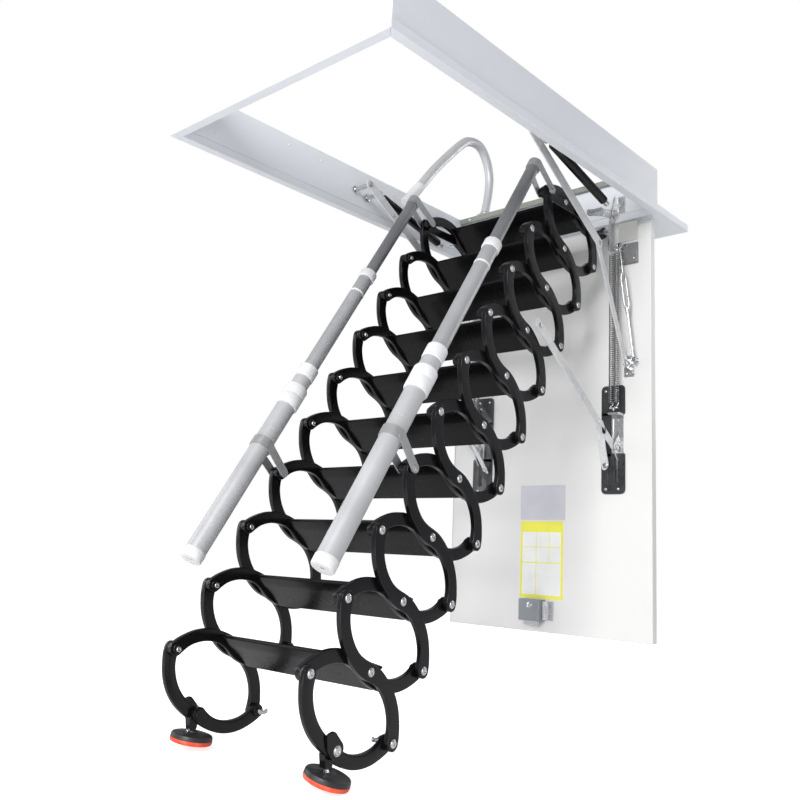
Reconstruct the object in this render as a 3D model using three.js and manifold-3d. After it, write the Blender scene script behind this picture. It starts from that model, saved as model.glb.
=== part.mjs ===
// Attic ladder: a concertina ladder of ten steps under a ceiling frame with a hanging trapdoor.
// Millimetres. X runs along the treads, Y points to the hinge side, Z is up.
// Lengths are measured from the middle of the ceiling opening, on the underside of the trim flange.
// The finished group is then moved, so that the origin is on the ceiling face of the hinge side.
import * as THREE from 'three';
import { mergeVertices } from 'three/addons/utils/BufferGeometryUtils.js';
import manifoldModule from 'manifold-3d';

const kernel = await manifoldModule();
kernel.setup();

// ---- driving dimensions -------------------------------------------------------------------
const GAP = 0.3;                 // free play between neighbouring pieces

const UNITS = 10;                // steps
const HALF_LINK = 156;           // pivot to pivot, half of one S-shaped link
const OPEN_ANGLE = 29.8;         // degrees between a half link and the depth of the ladder
const LEAN = 32.9;               // degrees the ladder leans back from upright
const TOP_PIVOT = [443, -32];    // rear pivot of the top step, Y and Z
const BOW = 0.19;                // bow of a half link over its length
const BAND = 13.5;               // half width of a link between its bosses
const BOSS = 15.5;               // radius of the end bosses
const HUB = 17.5;                // half width at the middle pivot

const INNER_X = [193.5, 206];    // inner link plates
const OUTER_X = [206.3, 219];    // outer link plates
const BOLT_HEAD = 3.6;           // height of a bolt head
const BOLT_R = 8;

const TREAD_NOSE = [-40, 34.5];  // tread profile about the middle pivot, Y and Z
const TREAD_BACK = [61, 4];
const TREAD_RIDGE = [-26, 9];    // where the nose meets the apron
const APRON_FOOT = [39, -39];
const TREAD_SKIN = 5;

const RAIL_X = 207;              // handrail axis
const RAIL_OFFSET = 79;          // handrail axis in front of the front pivots
const LOWER_TUBE = [28, 24, 21.2];     // radii: end fittings, tube, bore
const MIDDLE_TUBE = [22.5, 19.5, 17];
const UPPER_TUBE = [17, 16, 13.5];

const FRAME_X = 364;             // trim flange, half width
const FRAME_Y = 653.5;           // trim flange, half length
const FLANGE_T = 22;
const OPENING_X = 340;           // inside faces of the lining
const OPENING_FRONT = -628;
const OPENING_REAR = 467;
const LINING_T = 12;
const LINING_TOP = 135;
const REBATE = 0.3;              // depth of the step in the flange that the lining stands in
const CEILING_POINT = [0, 580, 22];    // the origin of the finished part

const DOOR_X = 338;
const DOOR_Y = [464, 488];
const DOOR_Z = [-1177, -5];
const DOOR_HINGE = [499, -38];

const ARM_X = 273;               // elbow arms
const ARM_FRAME = [-45, 67];
const ARM_ELBOW = [288, -125];
const ARM_DOOR = [446, -428];
const STRUT_X = 290;             // support struts
const STRUT_FRAME = [5, 58];
const STRUT_LEVER = [316, -16];
const LEVER_X = [224, 229];      // levers that carry the ladder
const LEVER_PIVOT = [450, 22];
const SPRING_X = 240;
const SPRING_HOOK = [436, -86];
const SPRING_ANCHOR = [434, -560];
const STAY_X = [231, 236];       // stay arms between door and ladder
const STAY_LADDER = [67, -398];
const STAY_DOOR = [449, -660];
const TRACK_Z = [-787, -483];    // black plates on the door
const TRACK_X = [188, 260];

const FOOT_X = 207;              // swivelling feet
const FOOT_DROP = [-9, -57];
const FOOT_R = 45;
const FOOT_T = 20;
const FOOT_LEAN = { right: [0.24, 0.16], left: [-0.08, 0.12] };   // how far each pad leans

const CLAMP_UNIT = 3;            // lower clamp of the handrail, counted in front pivots
const CLAMP_HEIGHT = 22;
const RAIL_FOOT = 299;           // lower end of the handrail below the clamp pivot
const SLEEVE = [142, 205, 269];  // thick sleeve from, to, and top of the collar above it
const MIDDLE_SPAN = [150, 628];
const UPPER_FOOT = 560;
const GRAB_X = 252.5;            // grab rail on the left
const GRAB_R = 14.5;
const GRAB_PATH = [
  [82, 48], [150, 128], [221, 213], [336, 331], [385, 361], [437, 363], [474, 329], [494, 275], [491, 214],
  [474, 138],
];
const LATCH_CASE = [-60, 10, -1146, -1086];

// ---- colours ------------------------------------------------------------------------------
const FINISH = {
  black: { color: 0x151515, roughness: 0.28, metalness: 0.35 },
  white: { color: 0xeef0f4, roughness: 0.45, metalness: 0.0 },
  door: { color: 0xe9ebec, roughness: 0.4, metalness: 0.0 },
  zinc: { color: 0xd5d8dc, roughness: 0.32, metalness: 0.85 },
  steel: { color: 0xa9adb2, roughness: 0.35, metalness: 0.9 },
  greyTube: { color: 0x8c8f93, roughness: 0.42, metalness: 0.6 },
  paleTube: { color: 0xc9cccf, roughness: 0.4, metalness: 0.45 },
  midTube: { color: 0xb4b7ba, roughness: 0.42, metalness: 0.5 },
  redFoot: { color: 0xd8432c, roughness: 0.7, metalness: 0.0 },
  latch: { color: 0xa3adb3, roughness: 0.4, metalness: 0.7 },
};

// ---- small helpers ------------------------------------------------------------------------
const radians = THREE.MathUtils.degToRad;

// A closed solid from any closed three.js geometry.
function toSolid(geometry) {
  const bare = geometry.index ? geometry.toNonIndexed() : geometry.clone();
  bare.deleteAttribute('normal');
  bare.deleteAttribute('uv');
  const welded = mergeVertices(bare, 1e-4);
  return new kernel.Manifold(new kernel.Mesh({
    numProp: 3,
    vertProperties: new Float32Array(welded.attributes.position.array),
    triVerts: new Uint32Array(welded.index.array),
  }));
}

function toGeometry(body) {
  const mesh = body.getMesh();
  const geometry = new THREE.BufferGeometry();
  geometry.setAttribute('position', new THREE.BufferAttribute(new Float32Array(mesh.vertProperties), 3));
  geometry.setIndex(new THREE.BufferAttribute(new Uint32Array(mesh.triVerts), 1));
  const flat = geometry.toNonIndexed();
  flat.computeVertexNormals();
  return flat;
}

const join = (...bodies) => kernel.Manifold.union(bodies);

// A plate whose outline lies in the side plane (Y, Z), between two X positions.
function plate(outline, x0, x1) {
  const shape = new THREE.Shape(outline.map(([y, z]) => new THREE.Vector2(y, z)));
  const geometry = new THREE.ExtrudeGeometry(shape, { depth: x1 - x0, bevelEnabled: false });
  const toSide = new THREE.Matrix4().makeBasis(
    new THREE.Vector3(0, 1, 0),
    new THREE.Vector3(0, 0, 1),
    new THREE.Vector3(1, 0, 0),
  );
  geometry.applyMatrix4(toSide);
  geometry.translate(x0, 0, 0);
  return toSolid(geometry);
}

function box(x0, x1, y0, y1, z0, z1) {
  const geometry = new THREE.BoxGeometry(x1 - x0, y1 - y0, z1 - z0);
  geometry.translate((x0 + x1) / 2, (y0 + y1) / 2, (z0 + z1) / 2);
  return toSolid(geometry);
}

// A cylinder along X about a point of the side plane.
function pin(x0, x1, [y, z], radius, sides = 12) {
  const geometry = new THREE.CylinderGeometry(radius, radius, Math.abs(x1 - x0), sides);
  geometry.rotateZ(Math.PI / 2);
  geometry.translate((x0 + x1) / 2, y, z);
  return toSolid(geometry);
}

// A body of revolution: closed profile of [radius, distance] turned about the line from one point.
function turned(profile, from, direction, sides = 14) {
  const points = profile.map(([r, h]) => new THREE.Vector2(r, h));
  points.push(points[0].clone());
  const geometry = new THREE.LatheGeometry(points, sides);
  const upward = new THREE.Vector3(0, 1, 0);
  const aim = new THREE.Quaternion().setFromUnitVectors(upward, direction.clone().normalize());
  geometry.applyQuaternion(aim);
  geometry.translate(from.x, from.y, from.z);
  const body = toSolid(geometry);
  return body.volume() < 0 ? toSolid(flipped(geometry)) : body;
}

function flipped(geometry) {
  const copy = geometry.clone();
  const index = Array.from(copy.index.array);
  for (let i = 0; i < index.length; i += 3) {
    [index[i], index[i + 1]] = [index[i + 1], index[i]];
  }
  copy.setIndex(index);
  return copy;
}

const mirrored = (body) => body.mirror([1, 0, 0]);

const add2 = ([a, b], [c, d], k = 1) => [a + c * k, b + d * k];
const sub2 = ([a, b], [c, d]) => [a - c, b - d];
const unit2 = ([a, b]) => [a / Math.hypot(a, b), b / Math.hypot(a, b)];
const middle2 = (p, q) => [(p[0] + q[0]) / 2, (p[1] + q[1]) / 2];

// ---- the folding side geometry --------------------------------------------------------------
const lean = radians(LEAN);
const open = radians(OPEN_ANGLE);
const UP = [Math.sin(lean), Math.cos(lean)];        // along the ladder, upwards
const BACK = [Math.cos(lean), -Math.sin(lean)];     // across the ladder, to the rear
const PITCH = 2 * HALF_LINK * Math.sin(open);
const DEPTH = 2 * HALF_LINK * Math.cos(open);

const rearPivot = (i) => add2(TOP_PIVOT, UP, -(UNITS - i) * PITCH);
const frontPivot = (i) => add2(rearPivot(i), BACK, -DEPTH);
const middlePivot = (i) => add2(add2(rearPivot(i), BACK, -DEPTH / 2), UP, PITCH / 2);
const cellCentre = (i) => middle2(frontPivot(i), rearPivot(i));

// Points of an arc from p to q that bows away from a centre, with the outward normal at each.
function bowedArc(p, q, centre, steps) {
  const chord = sub2(q, p);
  const length = Math.hypot(...chord);
  const along = unit2(chord);
  let out = [-along[1], along[0]];
  const away = sub2(middle2(p, q), centre);
  if (away[0] * out[0] + away[1] * out[1] < 0) {
    out = [-out[0], -out[1]];
  }
  const sag = BOW * length;
  const radius = (length * length / 4 + sag * sag) / (2 * sag);
  const half = Math.asin(length / 2 / radius);
  const hub = add2(middle2(p, q), out, sag - radius);
  return Array.from({ length: steps + 1 }, (_, k) => {
    const turn = -half + (2 * half * k) / steps;
    const normal = [
      along[0] * Math.sin(turn) + out[0] * Math.cos(turn),
      along[1] * Math.sin(turn) + out[1] * Math.cos(turn),
    ];
    const tangent = [
      along[0] * Math.cos(turn) - out[0] * Math.sin(turn),
      along[1] * Math.cos(turn) - out[1] * Math.sin(turn),
    ];
    return { at: add2(hub, normal, radius), tangent };
  });
}

// Outline of a band along a centre line, with a width at every point and round ends.
function bandOutline(line, width) {
  const left = [];
  const right = [];
  line.forEach(({ at, tangent }, k) => {
    const side = [-tangent[1], tangent[0]];
    left.push(add2(at, side, width(k / (line.length - 1))));
    right.push(add2(at, side, -width(k / (line.length - 1))));
  });
  const capPoints = ({ at, tangent }, sign, radius) => {
    const side = [-tangent[1], tangent[0]];
    return [0.25, 0.5, 0.75].map((t) => {
      const turn = Math.PI * t;
      return add2(add2(at, side, Math.cos(turn) * radius * sign), tangent, Math.sin(turn) * radius * sign);
    });
  };
  return [
    ...left,
    ...capPoints(line[line.length - 1], 1, width(1)),
    ...right.reverse(),
    ...capPoints(line[0], -1, width(0)),
  ];
}

const bump = (t, at, reach) => Math.max(0, 1 - Math.abs(t - at) / reach);

function fullLinkWidth(t) {
  const ends = Math.max(bump(t, 0, 0.14), bump(t, 1, 0.14));
  return BAND + (BOSS - BAND) * ends + (HUB - BAND) * bump(t, 0.5, 0.16);
}

function halfLinkWidth(t) {
  const ends = Math.max(bump(t, 0, 0.25), bump(t, 1, 0.25));
  return BAND + (BOSS - BAND) * ends;
}

function fullLinkOutline(start, mid, end, startCell, endCell) {
  const first = bowedArc(start, mid, startCell, 4);
  const second = bowedArc(mid, end, endCell, 4);
  return bandOutline([...first, ...second.slice(1)], fullLinkWidth);
}

const outerOutline = (i) => fullLinkOutline(
  frontPivot(i + 1), middlePivot(i), rearPivot(i), cellCentre(i + 1), cellCentre(i));
const innerOutline = (i) => fullLinkOutline(
  frontPivot(i), middlePivot(i), rearPivot(i + 1), cellCentre(i), cellCentre(i + 1));

function halfOutline(p, q, cell) {
  return bandOutline(bowedArc(p, q, cell, 4), halfLinkWidth);
}

const boltHead = (x, at) => pin(x - 0.5, x + BOLT_HEAD, at, BOLT_R, 6);
const innerLug = (x, at) => pin(x - 12, x + 0.5, at, 12, 8);

// ---- ladder pieces ---------------------------------------------------------------------------
// Outer link with its three bolt heads, right-hand side.
function outerLink(i) {
  return join(
    plate(outerOutline(i), ...OUTER_X),
    boltHead(OUTER_X[1], frontPivot(i + 1)),
    boltHead(OUTER_X[1], middlePivot(i)),
    boltHead(OUTER_X[1], rearPivot(i)),
  );
}

// Top unit has only the lower half of its outer link.
function topOuterLink() {
  const i = UNITS - 1;
  return join(
    plate(halfOutline(middlePivot(i), rearPivot(i), cellCentre(i)), ...OUTER_X),
    boltHead(OUTER_X[1], middlePivot(i)),
    boltHead(OUTER_X[1], rearPivot(i)),
  );
}

// Tread channel: a skin that falls to the rear and an apron that runs back under the nose.
function treadSkin(i) {
  const [cy, cz] = middlePivot(i);
  const [noseY, noseZ] = TREAD_NOSE;
  const [backY, backZ] = TREAD_BACK;
  const [ridgeY, ridgeZ] = TREAD_RIDGE;
  const [footY, footZ] = APRON_FOOT;
  const profile = [
    [backY, backZ - TREAD_SKIN],
    [backY, backZ],
    [noseY + 5, noseZ - 1.5],
    [noseY, noseZ - 3],
    [noseY - 3.5, noseZ - 7],
    [ridgeY, ridgeZ],
    [footY - 6, footZ],
    [footY, footZ],
    [footY, footZ + 5],
    [footY - 4, footZ + 5],
    [ridgeY + 4.5, ridgeZ + 4],
    [noseY + 7, noseZ - TREAD_SKIN - 2.5],
  ];
  const outline = profile.map(([y, z]) => [cy + y, cz + z]);
  return plate(outline, -INNER_X[0] + GAP, INNER_X[0] - GAP);
}

// One step: the tread and the two inner links are a single casting.
function step(i) {
  const [cy, cz] = middlePivot(i);
  const side = join(
    plate(innerOutline(i), ...INNER_X),
    innerLug(INNER_X[0], frontPivot(i)),
    innerLug(INNER_X[0], rearPivot(i + 1)),
    box(INNER_X[0] - 8, INNER_X[0] + 0.5, cy - 8, cy + 20, cz - 9, cz + 14),
  );
  return join(treadSkin(i), side, mirrored(side));
}

// Top step: its rear ends are bolted through to the two levers.
function topStep() {
  const i = UNITS - 1;
  const lever = leverPlate();
  const tie = pin(INNER_X[1] - 1, LEVER_X[0] + 1, rearPivot(UNITS), 9, 10);
  return join(step(i), lever, tie, mirrored(lever), mirrored(tie));
}

function leverPlate() {
  const outline = bandOutline(polyline([STRUT_LEVER, [386, 8], LEVER_PIVOT]), () => 9);
  const drop = bandOutline(polyline([LEVER_PIVOT, TOP_PIVOT, SPRING_HOOK]), () => 11);
  return join(
    plate(outline, ...LEVER_X),
    plate(drop, ...LEVER_X),
    pin(LEVER_X[1] - 1, ARM_X - 5.5, STRUT_LEVER, 5, 10),
    pin(LEVER_X[1] - 1, SPRING_X + 8, SPRING_HOOK, 4, 8),
  );
}

// Straight runs between points, written as a centre line with tangents.
function polyline(points) {
  return points.map((at, k) => {
    const before = points[Math.max(0, k - 1)];
    const after = points[Math.min(points.length - 1, k + 1)];
    return { at, tangent: unit2(sub2(after, before)) };
  });
}

// Foot: front half link with a swivelling round pad under the bottom hinge.
const BOTTOM = add2(middlePivot(0), UP, -PITCH);

function frontHalfLink() {
  return join(
    plate(halfOutline(frontPivot(0), BOTTOM, cellCentre(0)), ...OUTER_X),
    boltHead(OUTER_X[1], frontPivot(0)),
    plate(bandOutline(polyline([add2(BOTTOM, [-20, 22]), BOTTOM]), () => 16), OUTER_X[1] - 1, OUTER_X[1] + 5),
    boltHead(OUTER_X[1] + 5, BOTTOM),
  );
}

function rearHalfLink() {
  return join(
    plate(halfOutline(BOTTOM, rearPivot(0), cellCentre(0)), ...INNER_X),
    wingBolt(INNER_X[0], rearPivot(0)),
  );
}

// Wing-headed bolt that points inwards at the bottom rear pivot.
function wingBolt(x, [y, z]) {
  return join(
    pin(x - 14, x + 0.5, [y, z], 6, 8),
    box(x - 22, x - 12, y - 13, y + 13, z - 2.5, z + 2.5),
  );
}

function footPad([sideways, back]) {
  const x = FOOT_X;
  const [y, z] = add2(BOTTOM, FOOT_DROP);
  const up = new THREE.Vector3(sideways, back, 1);
  const at = new THREE.Vector3(x, y, z);
  const disc = [[0, 0], [FOOT_R - 2, 0], [FOOT_R, 3], [FOOT_R, 14], [FOOT_R - 3, FOOT_T], [0, FOOT_T]];
  const stem = [[0, FOOT_T - 1], [9, FOOT_T - 1], [9, FOOT_T + 9], [0, FOOT_T + 9]];
  return join(turned(disc, at, up, 24), turned(stem, at, up, 10));
}

// ---- handrails -----------------------------------------------------------------------------------
const railUp = new THREE.Vector3(0, UP[0], UP[1]);

// Point of the handrail axis at a height along the ladder above the lower clamp pivot.
function railPoint(height) {
  const [y, z] = add2(add2(frontPivot(CLAMP_UNIT), BACK, -RAIL_OFFSET), UP, height);
  return new THREE.Vector3(RAIL_X, y, z);
}

// Hollow tube profile between two heights: outer steps [radius, height] and one bore radius.
function sleeve(steps, bore) {
  const last = steps[steps.length - 1];
  return [[bore, steps[0][1]], ...steps, [bore, last[1]]];
}

// Strap of two cheeks from a tube to a pivot on the outside of the links.
function strap(height, pivot, tubeRadius) {
  const tubeCentre = [railPoint(height).y, railPoint(height).z];
  const start = add2(tubeCentre, BACK, tubeRadius + 2);
  const run = bandOutline(polyline([start, pivot]), () => 9);
  const x = [OUTER_X[1] + BOLT_HEAD + GAP, OUTER_X[1] + BOLT_HEAD + 4 + GAP];
  const collar = [[tubeRadius - 1, -11], [tubeRadius + 3, -11], [tubeRadius + 3, 11], [tubeRadius - 1, 11]];
  return join(
    plate(run, ...x),
    turned(collar, railPoint(height), railUp),
    pin(x[1] - 1, x[1] + 3.5, pivot, 7, 6),
  );
}

function lowerTube() {
  const [fitting, outer, bore] = LOWER_TUBE;
  const foot = -RAIL_FOOT;
  const steps = [
    [outer, foot + 2], [outer + 1.5, foot + 3], [outer + 1.5, foot + 22], [outer, foot + 24],
    [outer, SLEEVE[0]], [fitting, SLEEVE[0] + 3], [fitting, SLEEVE[1] - 4], [fitting - 4, SLEEVE[1]],
    [MIDDLE_TUBE[0], SLEEVE[1]], [MIDDLE_TUBE[0], SLEEVE[2] - 34], [MIDDLE_TUBE[0] + 2, SLEEVE[2] - 32],
    [MIDDLE_TUBE[0] + 2, SLEEVE[2]],
  ];
  const tube = turned(sleeve(steps, bore), railPoint(0), railUp);
  const cap = turned([[0, foot], [outer - 1, foot], [outer, foot + 3], [outer, foot + 8], [0, foot + 8]],
    railPoint(0), railUp);
  return join(tube, cap, strap(CLAMP_HEIGHT, frontPivot(CLAMP_UNIT), outer));
}

function middleTube() {
  const [collar, outer, bore] = MIDDLE_TUBE;
  const steps = [
    [outer, MIDDLE_SPAN[0]], [outer, MIDDLE_SPAN[1] - 27], [collar, MIDDLE_SPAN[1] - 27],
    [collar, MIDDLE_SPAN[1]],
  ];
  return turned(sleeve(steps, bore), railPoint(0), railUp);
}

function upperTube() {
  const [, outer, bore] = UPPER_TUBE;
  const top = (UNITS - 1 - CLAMP_UNIT) * PITCH;
  const steps = [[outer, UPPER_FOOT], [outer, top + 10]];
  const tube = turned(sleeve(steps, bore), railPoint(0), railUp);
  const crown = turned([[0, top + 2], [outer, top + 2], [outer, top + 12], [outer - 5, top + 19],
    [0, top + 20]], railPoint(0), railUp);
  return join(tube, crown, strap(top + 7, frontPivot(UNITS - 1), outer));
}

// Fixed grab rail: a bent tube beside the ladder on the left.
function grabRail() {
  const stops = GRAB_PATH.map(([y, z]) => new THREE.Vector3(-GRAB_X, y, z));
  const path = new THREE.CatmullRomCurve3(stops, false, 'catmullrom', 0.5);
  const round = new THREE.Shape();
  round.absarc(0, 0, GRAB_R, 0, Math.PI * 2, false);
  const bent = new THREE.ExtrudeGeometry(round, { steps: 20, curveSegments: 5, extrudePath: path });
  const inner = GRAB_R - 1;
  const outer = GRAB_R + 1.3;
  const profile = [[inner, 0], [outer, 0], [outer, 92], [GRAB_R + 0.5, 98], [inner, 98]];
  const thick = turned(profile, stops[0], stops[1].clone().sub(stops[0]), 14);
  const foot = box(-GRAB_X - 22, -GRAB_X + 22, OPENING_REAR - 11, OPENING_REAR + LINING_T,
    LINING_TOP + GAP, LINING_TOP + 5);
  return join(toSolid(bent), thick, foot);
}

// ---- ceiling frame ---------------------------------------------------------------------------------
// Trim boards round the opening; the lining stands in a shallow rebate on their upper side.
function trimFlange() {
  const outer = box(-FRAME_X, FRAME_X, -FRAME_Y, FRAME_Y, 0, FLANGE_T);
  const hole = box(-OPENING_X, OPENING_X, OPENING_FRONT, OPENING_REAR, -1, FLANGE_T + 1);
  const edge = LINING_T + 0.5;
  const rebate = box(-OPENING_X - edge, OPENING_X + edge, OPENING_FRONT - edge, OPENING_REAR + edge,
    FLANGE_T - REBATE, FLANGE_T + 1);
  return outer.subtract(hole).subtract(rebate);
}

function hingeBracket(x) {
  const [y, z] = DOOR_HINGE;
  return join(
    box(x - 24, x + 24, y + 46, y + 86, -3, 1),
    box(x - 24, x + 24, y + 46, y + 51, z - 5, 0),
    box(x - 24, x + 24, y + 16, y + 51, z - 5, z),
    box(x - 10, x + 10, y + 2, y + 17, z - 5, z),
    pin(x - 10, x + 10, DOOR_HINGE, 5.5, 10),
  );
}

// Bearing plate of one lever, on the rear lining.
function leverBearing() {
  const plateX = [LEVER_X[1] + GAP, LEVER_X[1] + 5];
  const [y, z] = LEVER_PIVOT;
  const cheek = [[y - 12, z - 2], [y - 9, z - 10], [y + 9, z - 10], [OPENING_REAR - 1, z + 2],
    [OPENING_REAR - 1, 74], [y + 6, 74], [y - 12, z + 10]];
  return join(
    plate(cheek, ...plateX),
    box(plateX[0], plateX[1] + 26, OPENING_REAR - 4, OPENING_REAR + 1, 26, 74),
  );
}

// Side bracket that carries the elbow arm and the support strut.
function sideBracket() {
  const post = (at, x) => join(
    pin(x, OPENING_X + 1, at, 7, 10),
    pin(OPENING_X - 4, OPENING_X + 1, at, 16, 12),
  );
  return join(post(ARM_FRAME, ARM_X + 5), post(STRUT_FRAME, STRUT_X - 8));
}

function liningBox() {
  const ring = box(-OPENING_X - LINING_T, OPENING_X + LINING_T, OPENING_FRONT - LINING_T,
    OPENING_REAR + LINING_T, FLANGE_T + GAP, LINING_TOP)
    .subtract(box(-OPENING_X, OPENING_X, OPENING_FRONT, OPENING_REAR, 0, LINING_TOP + 1));
  const lip = box(-OPENING_X - 1, OPENING_X + 1, OPENING_REAR - 12, OPENING_REAR + LINING_T,
    LINING_TOP - 16, LINING_TOP - 0.5);
  return join(ring, lip);
}

// ---- trapdoor ----------------------------------------------------------------------------------------
// The panel's top edge is rounded about the hinge line, so that it turns clear of the flange.
function doorPanel() {
  const [front, back] = DOOR_Y;
  const [bottom, top] = DOOR_Z;
  const [hingeY, hingeZ] = DOOR_HINGE;
  const reach = -hingeZ - 0.6;
  const turns = [Math.PI - Math.asin((top - hingeZ) / reach), Math.acos((front - hingeY) / reach)];
  const rounded = [0, 1, 2, 3].map((k) => {
    const turn = turns[0] + ((turns[1] - turns[0]) * k) / 3;
    return [hingeY + reach * Math.cos(turn), hingeZ + reach * Math.sin(turn)];
  });
  const panel = plate([[front, bottom], [back, bottom], [back, top], ...rounded], -DOOR_X, DOOR_X);
  const hollow = box(-DOOR_X + 22, DOOR_X - 22, front + 6, back + 1, bottom + 22, top - 60);
  return panel.subtract(hollow);
}

function hingeLeaf(x) {
  const [y, z] = DOOR_HINGE;
  const knuckle = (x0, x1) => join(
    pin(x0, x1, DOOR_HINGE, 5.5, 10),
    box(x0, x1, DOOR_Y[1] + 1, y, z - 2, z + 2),
  );
  return join(
    box(x - 22, x + 22, DOOR_Y[1] - 1, DOOR_Y[1] + 3, z - 60, z + 4),
    knuckle(x - 22, x - 10 - GAP),
    knuckle(x + 10 + GAP, x + 22),
  );
}

// Black plate on the door with the pivot ear of the stay arm and the anchor of the springs.
function trackPlate() {
  const face = DOOR_Y[0] + 1;
  const [anchorY, anchorZ] = SPRING_ANCHOR;
  return join(
    box(...TRACK_X, face - 4, face, ...TRACK_Z),
    box(STAY_X[1] + GAP, STAY_X[1] + 5, STAY_DOOR[0] - 8, face - 1, STAY_DOOR[1] - 40, STAY_DOOR[1] + 40),
    box(SPRING_X - 16, SPRING_X + 16, anchorY - 3, face - 1, anchorZ - 10, anchorZ - 4),
  );
}

function armEar() {
  const face = DOOR_Y[0] + 1;
  return join(
    box(ARM_X - 18, ARM_X + 14, face - 3, face, ARM_DOOR[1] - 34, ARM_DOOR[1] + 26),
    box(ARM_X, ARM_X + 4, ARM_DOOR[0] - 9, face - 1, ARM_DOOR[1] - 12, ARM_DOOR[1] + 12),
  );
}

function latchCase() {
  const face = DOOR_Y[0] - GAP;
  const [x0, x1, z0, z1] = LATCH_CASE;
  return join(
    box(x0, x1, face - 34, face, z0, z1),
    box(x1 - 1, x1 + 26, face - 3, face, z0 + 2, z1 - 4),
  ).subtract(box(x0 + 12, x1 - 12, face - 26, face - 8, z0 - 1, z0 + 52));
}

function latchBolt() {
  const face = DOOR_Y[0] - GAP;
  const [x0, x1, z0] = LATCH_CASE;
  return box(x0 + 12 + GAP, x1 - 12 - GAP, face - 26 + GAP, face - 8 - GAP, z0 - 12, z0 + 40);
}

// ---- arms, struts and springs ------------------------------------------------------------------------
function flatBar(a, b, x0, x1, halfWidth) {
  return plate(bandOutline(polyline([a, b]), () => halfWidth), x0, x1);
}

function upperArm() {
  return join(
    flatBar(ARM_FRAME, ARM_ELBOW, ARM_X, ARM_X + 4, 14),
    pin(ARM_X - 5, ARM_X + 0.5, ARM_FRAME, 8, 6),
    pin(ARM_X + 3, ARM_X + 8, ARM_ELBOW, 7, 6),
  );
}

function lowerArm() {
  return join(
    flatBar(ARM_ELBOW, ARM_DOOR, ARM_X - 4 - GAP, ARM_X - GAP, 10).subtract(
      box(ARM_X - 10, ARM_X, ARM_DOOR[0] + 11, 500, -500, 0)),
    pin(ARM_X - 9, ARM_X - 4, ARM_DOOR, 7, 6),
  );
}

function strutBody() {
  const from = new THREE.Vector3(STRUT_X, ...STRUT_FRAME);
  const to = new THREE.Vector3(STRUT_X, ...STRUT_LEVER);
  const length = from.distanceTo(to);
  const tube = sleeve([[12, 22], [12, length - 34]], 8.5);
  const end = [[0, 14], [7, 14], [10, 22], [10, 30], [0, 30]];
  return join(turned(tube, from, to.clone().sub(from), 14), turned(end, from, to.clone().sub(from), 14));
}

function strutRod() {
  const from = new THREE.Vector3(STRUT_X, ...STRUT_FRAME);
  const to = new THREE.Vector3(STRUT_X, ...STRUT_LEVER);
  const length = from.distanceTo(to);
  return turned([[0, length - 190], [5, length - 190], [5, length - 12], [0, length - 12]],
    from, to.clone().sub(from), 10);
}

// Two coil springs side by side on a common hook and anchor, kept as plain closed bodies.
function springPair() {
  const hook = new THREE.Vector3(SPRING_X, ...SPRING_HOOK);
  const anchor = new THREE.Vector3(SPRING_X, ...SPRING_ANCHOR);
  const axis = anchor.clone().sub(hook);
  const length = axis.length();
  const coil = (x) => turned([[0, 16], [7, 16], [7, length - 10], [0, length - 10]],
    new THREE.Vector3(x, hook.y, hook.z), axis, 10);
  const yoke = (z) => box(SPRING_X - 12, SPRING_X + 12, z.y - 4, z.y + 4, z.z - 4, z.z + 4);
  const at = (d) => hook.clone().addScaledVector(axis, d / length);
  return join(coil(SPRING_X - 8), coil(SPRING_X + 8), yoke(at(18)), yoke(at(length - 12)));
}

function stayArm() {
  return join(
    flatBar(STAY_LADDER, STAY_DOOR, ...STAY_X, 12),
    pin(STAY_X[0] - 5, STAY_X[0] + 0.5, STAY_LADDER, 8, 8),
  ).subtract(box(STAY_X[0] - 9, STAY_X[1] + 1, DOOR_Y[0] - 5, 500, -760, -560));
}

// ---- assembling -------------------------------------------------------------------------------
const part = new THREE.Group();
part.name = 'attic_ladder';

function place(name, body, finish) {
  const material = new THREE.MeshStandardMaterial({ name: `${name}_finish`, ...FINISH[finish] });
  const mesh = new THREE.Mesh(toGeometry(body), material);
  mesh.name = name;
  part.add(mesh);
}

function placePair(name, rightBody, finish) {
  place(`${name}_right`, rightBody, finish);
  place(`${name}_left`, mirrored(rightBody), finish);
}

const HINGE_X = 255;
const bothSides = (body) => join(body, mirrored(body));

place('trim_flange', join(trimFlange(), hingeBracket(HINGE_X), hingeBracket(-HINGE_X)), 'white');
place('lining_box', join(liningBox(), bothSides(leverBearing()), bothSides(sideBracket())), 'white');
place('door_panel', join(doorPanel(), bothSides(trackPlate()), bothSides(armEar()),
  bothSides(hingeLeaf(HINGE_X))), 'door');
place('latch_case', latchCase(), 'latch');
place('latch_bolt', latchBolt(), 'steel');

for (let i = 0; i < UNITS - 1; i += 1) {
  place(`step_${i + 1}`, step(i), 'black');
  placePair(`outer_link_${i + 1}`, outerLink(i), 'black');
}
place(`step_${UNITS}`, topStep(), 'black');
placePair(`outer_link_${UNITS}`, topOuterLink(), 'black');
placePair('foot_front_link', frontHalfLink(), 'black');
placePair('foot_rear_link', rearHalfLink(), 'black');
place('foot_pad_right', footPad(FOOT_LEAN.right), 'redFoot');
place('foot_pad_left', mirrored(footPad(FOOT_LEAN.left)), 'redFoot');

placePair('rail_lower', lowerTube(), 'paleTube');
placePair('rail_middle', middleTube(), 'midTube');
placePair('rail_upper', upperTube(), 'greyTube');
place('grab_rail', grabRail(), 'paleTube');

placePair('upper_arm', upperArm(), 'zinc');
placePair('lower_arm', lowerArm(), 'zinc');
placePair('strut_body', strutBody(), 'black');
placePair('strut_rod', strutRod(), 'steel');
placePair('spring_pair', springPair(), 'steel');
placePair('stay_arm', stayArm(), 'zinc');

part.position.fromArray(CEILING_POINT).negate();

export default part;
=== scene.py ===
import math

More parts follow.
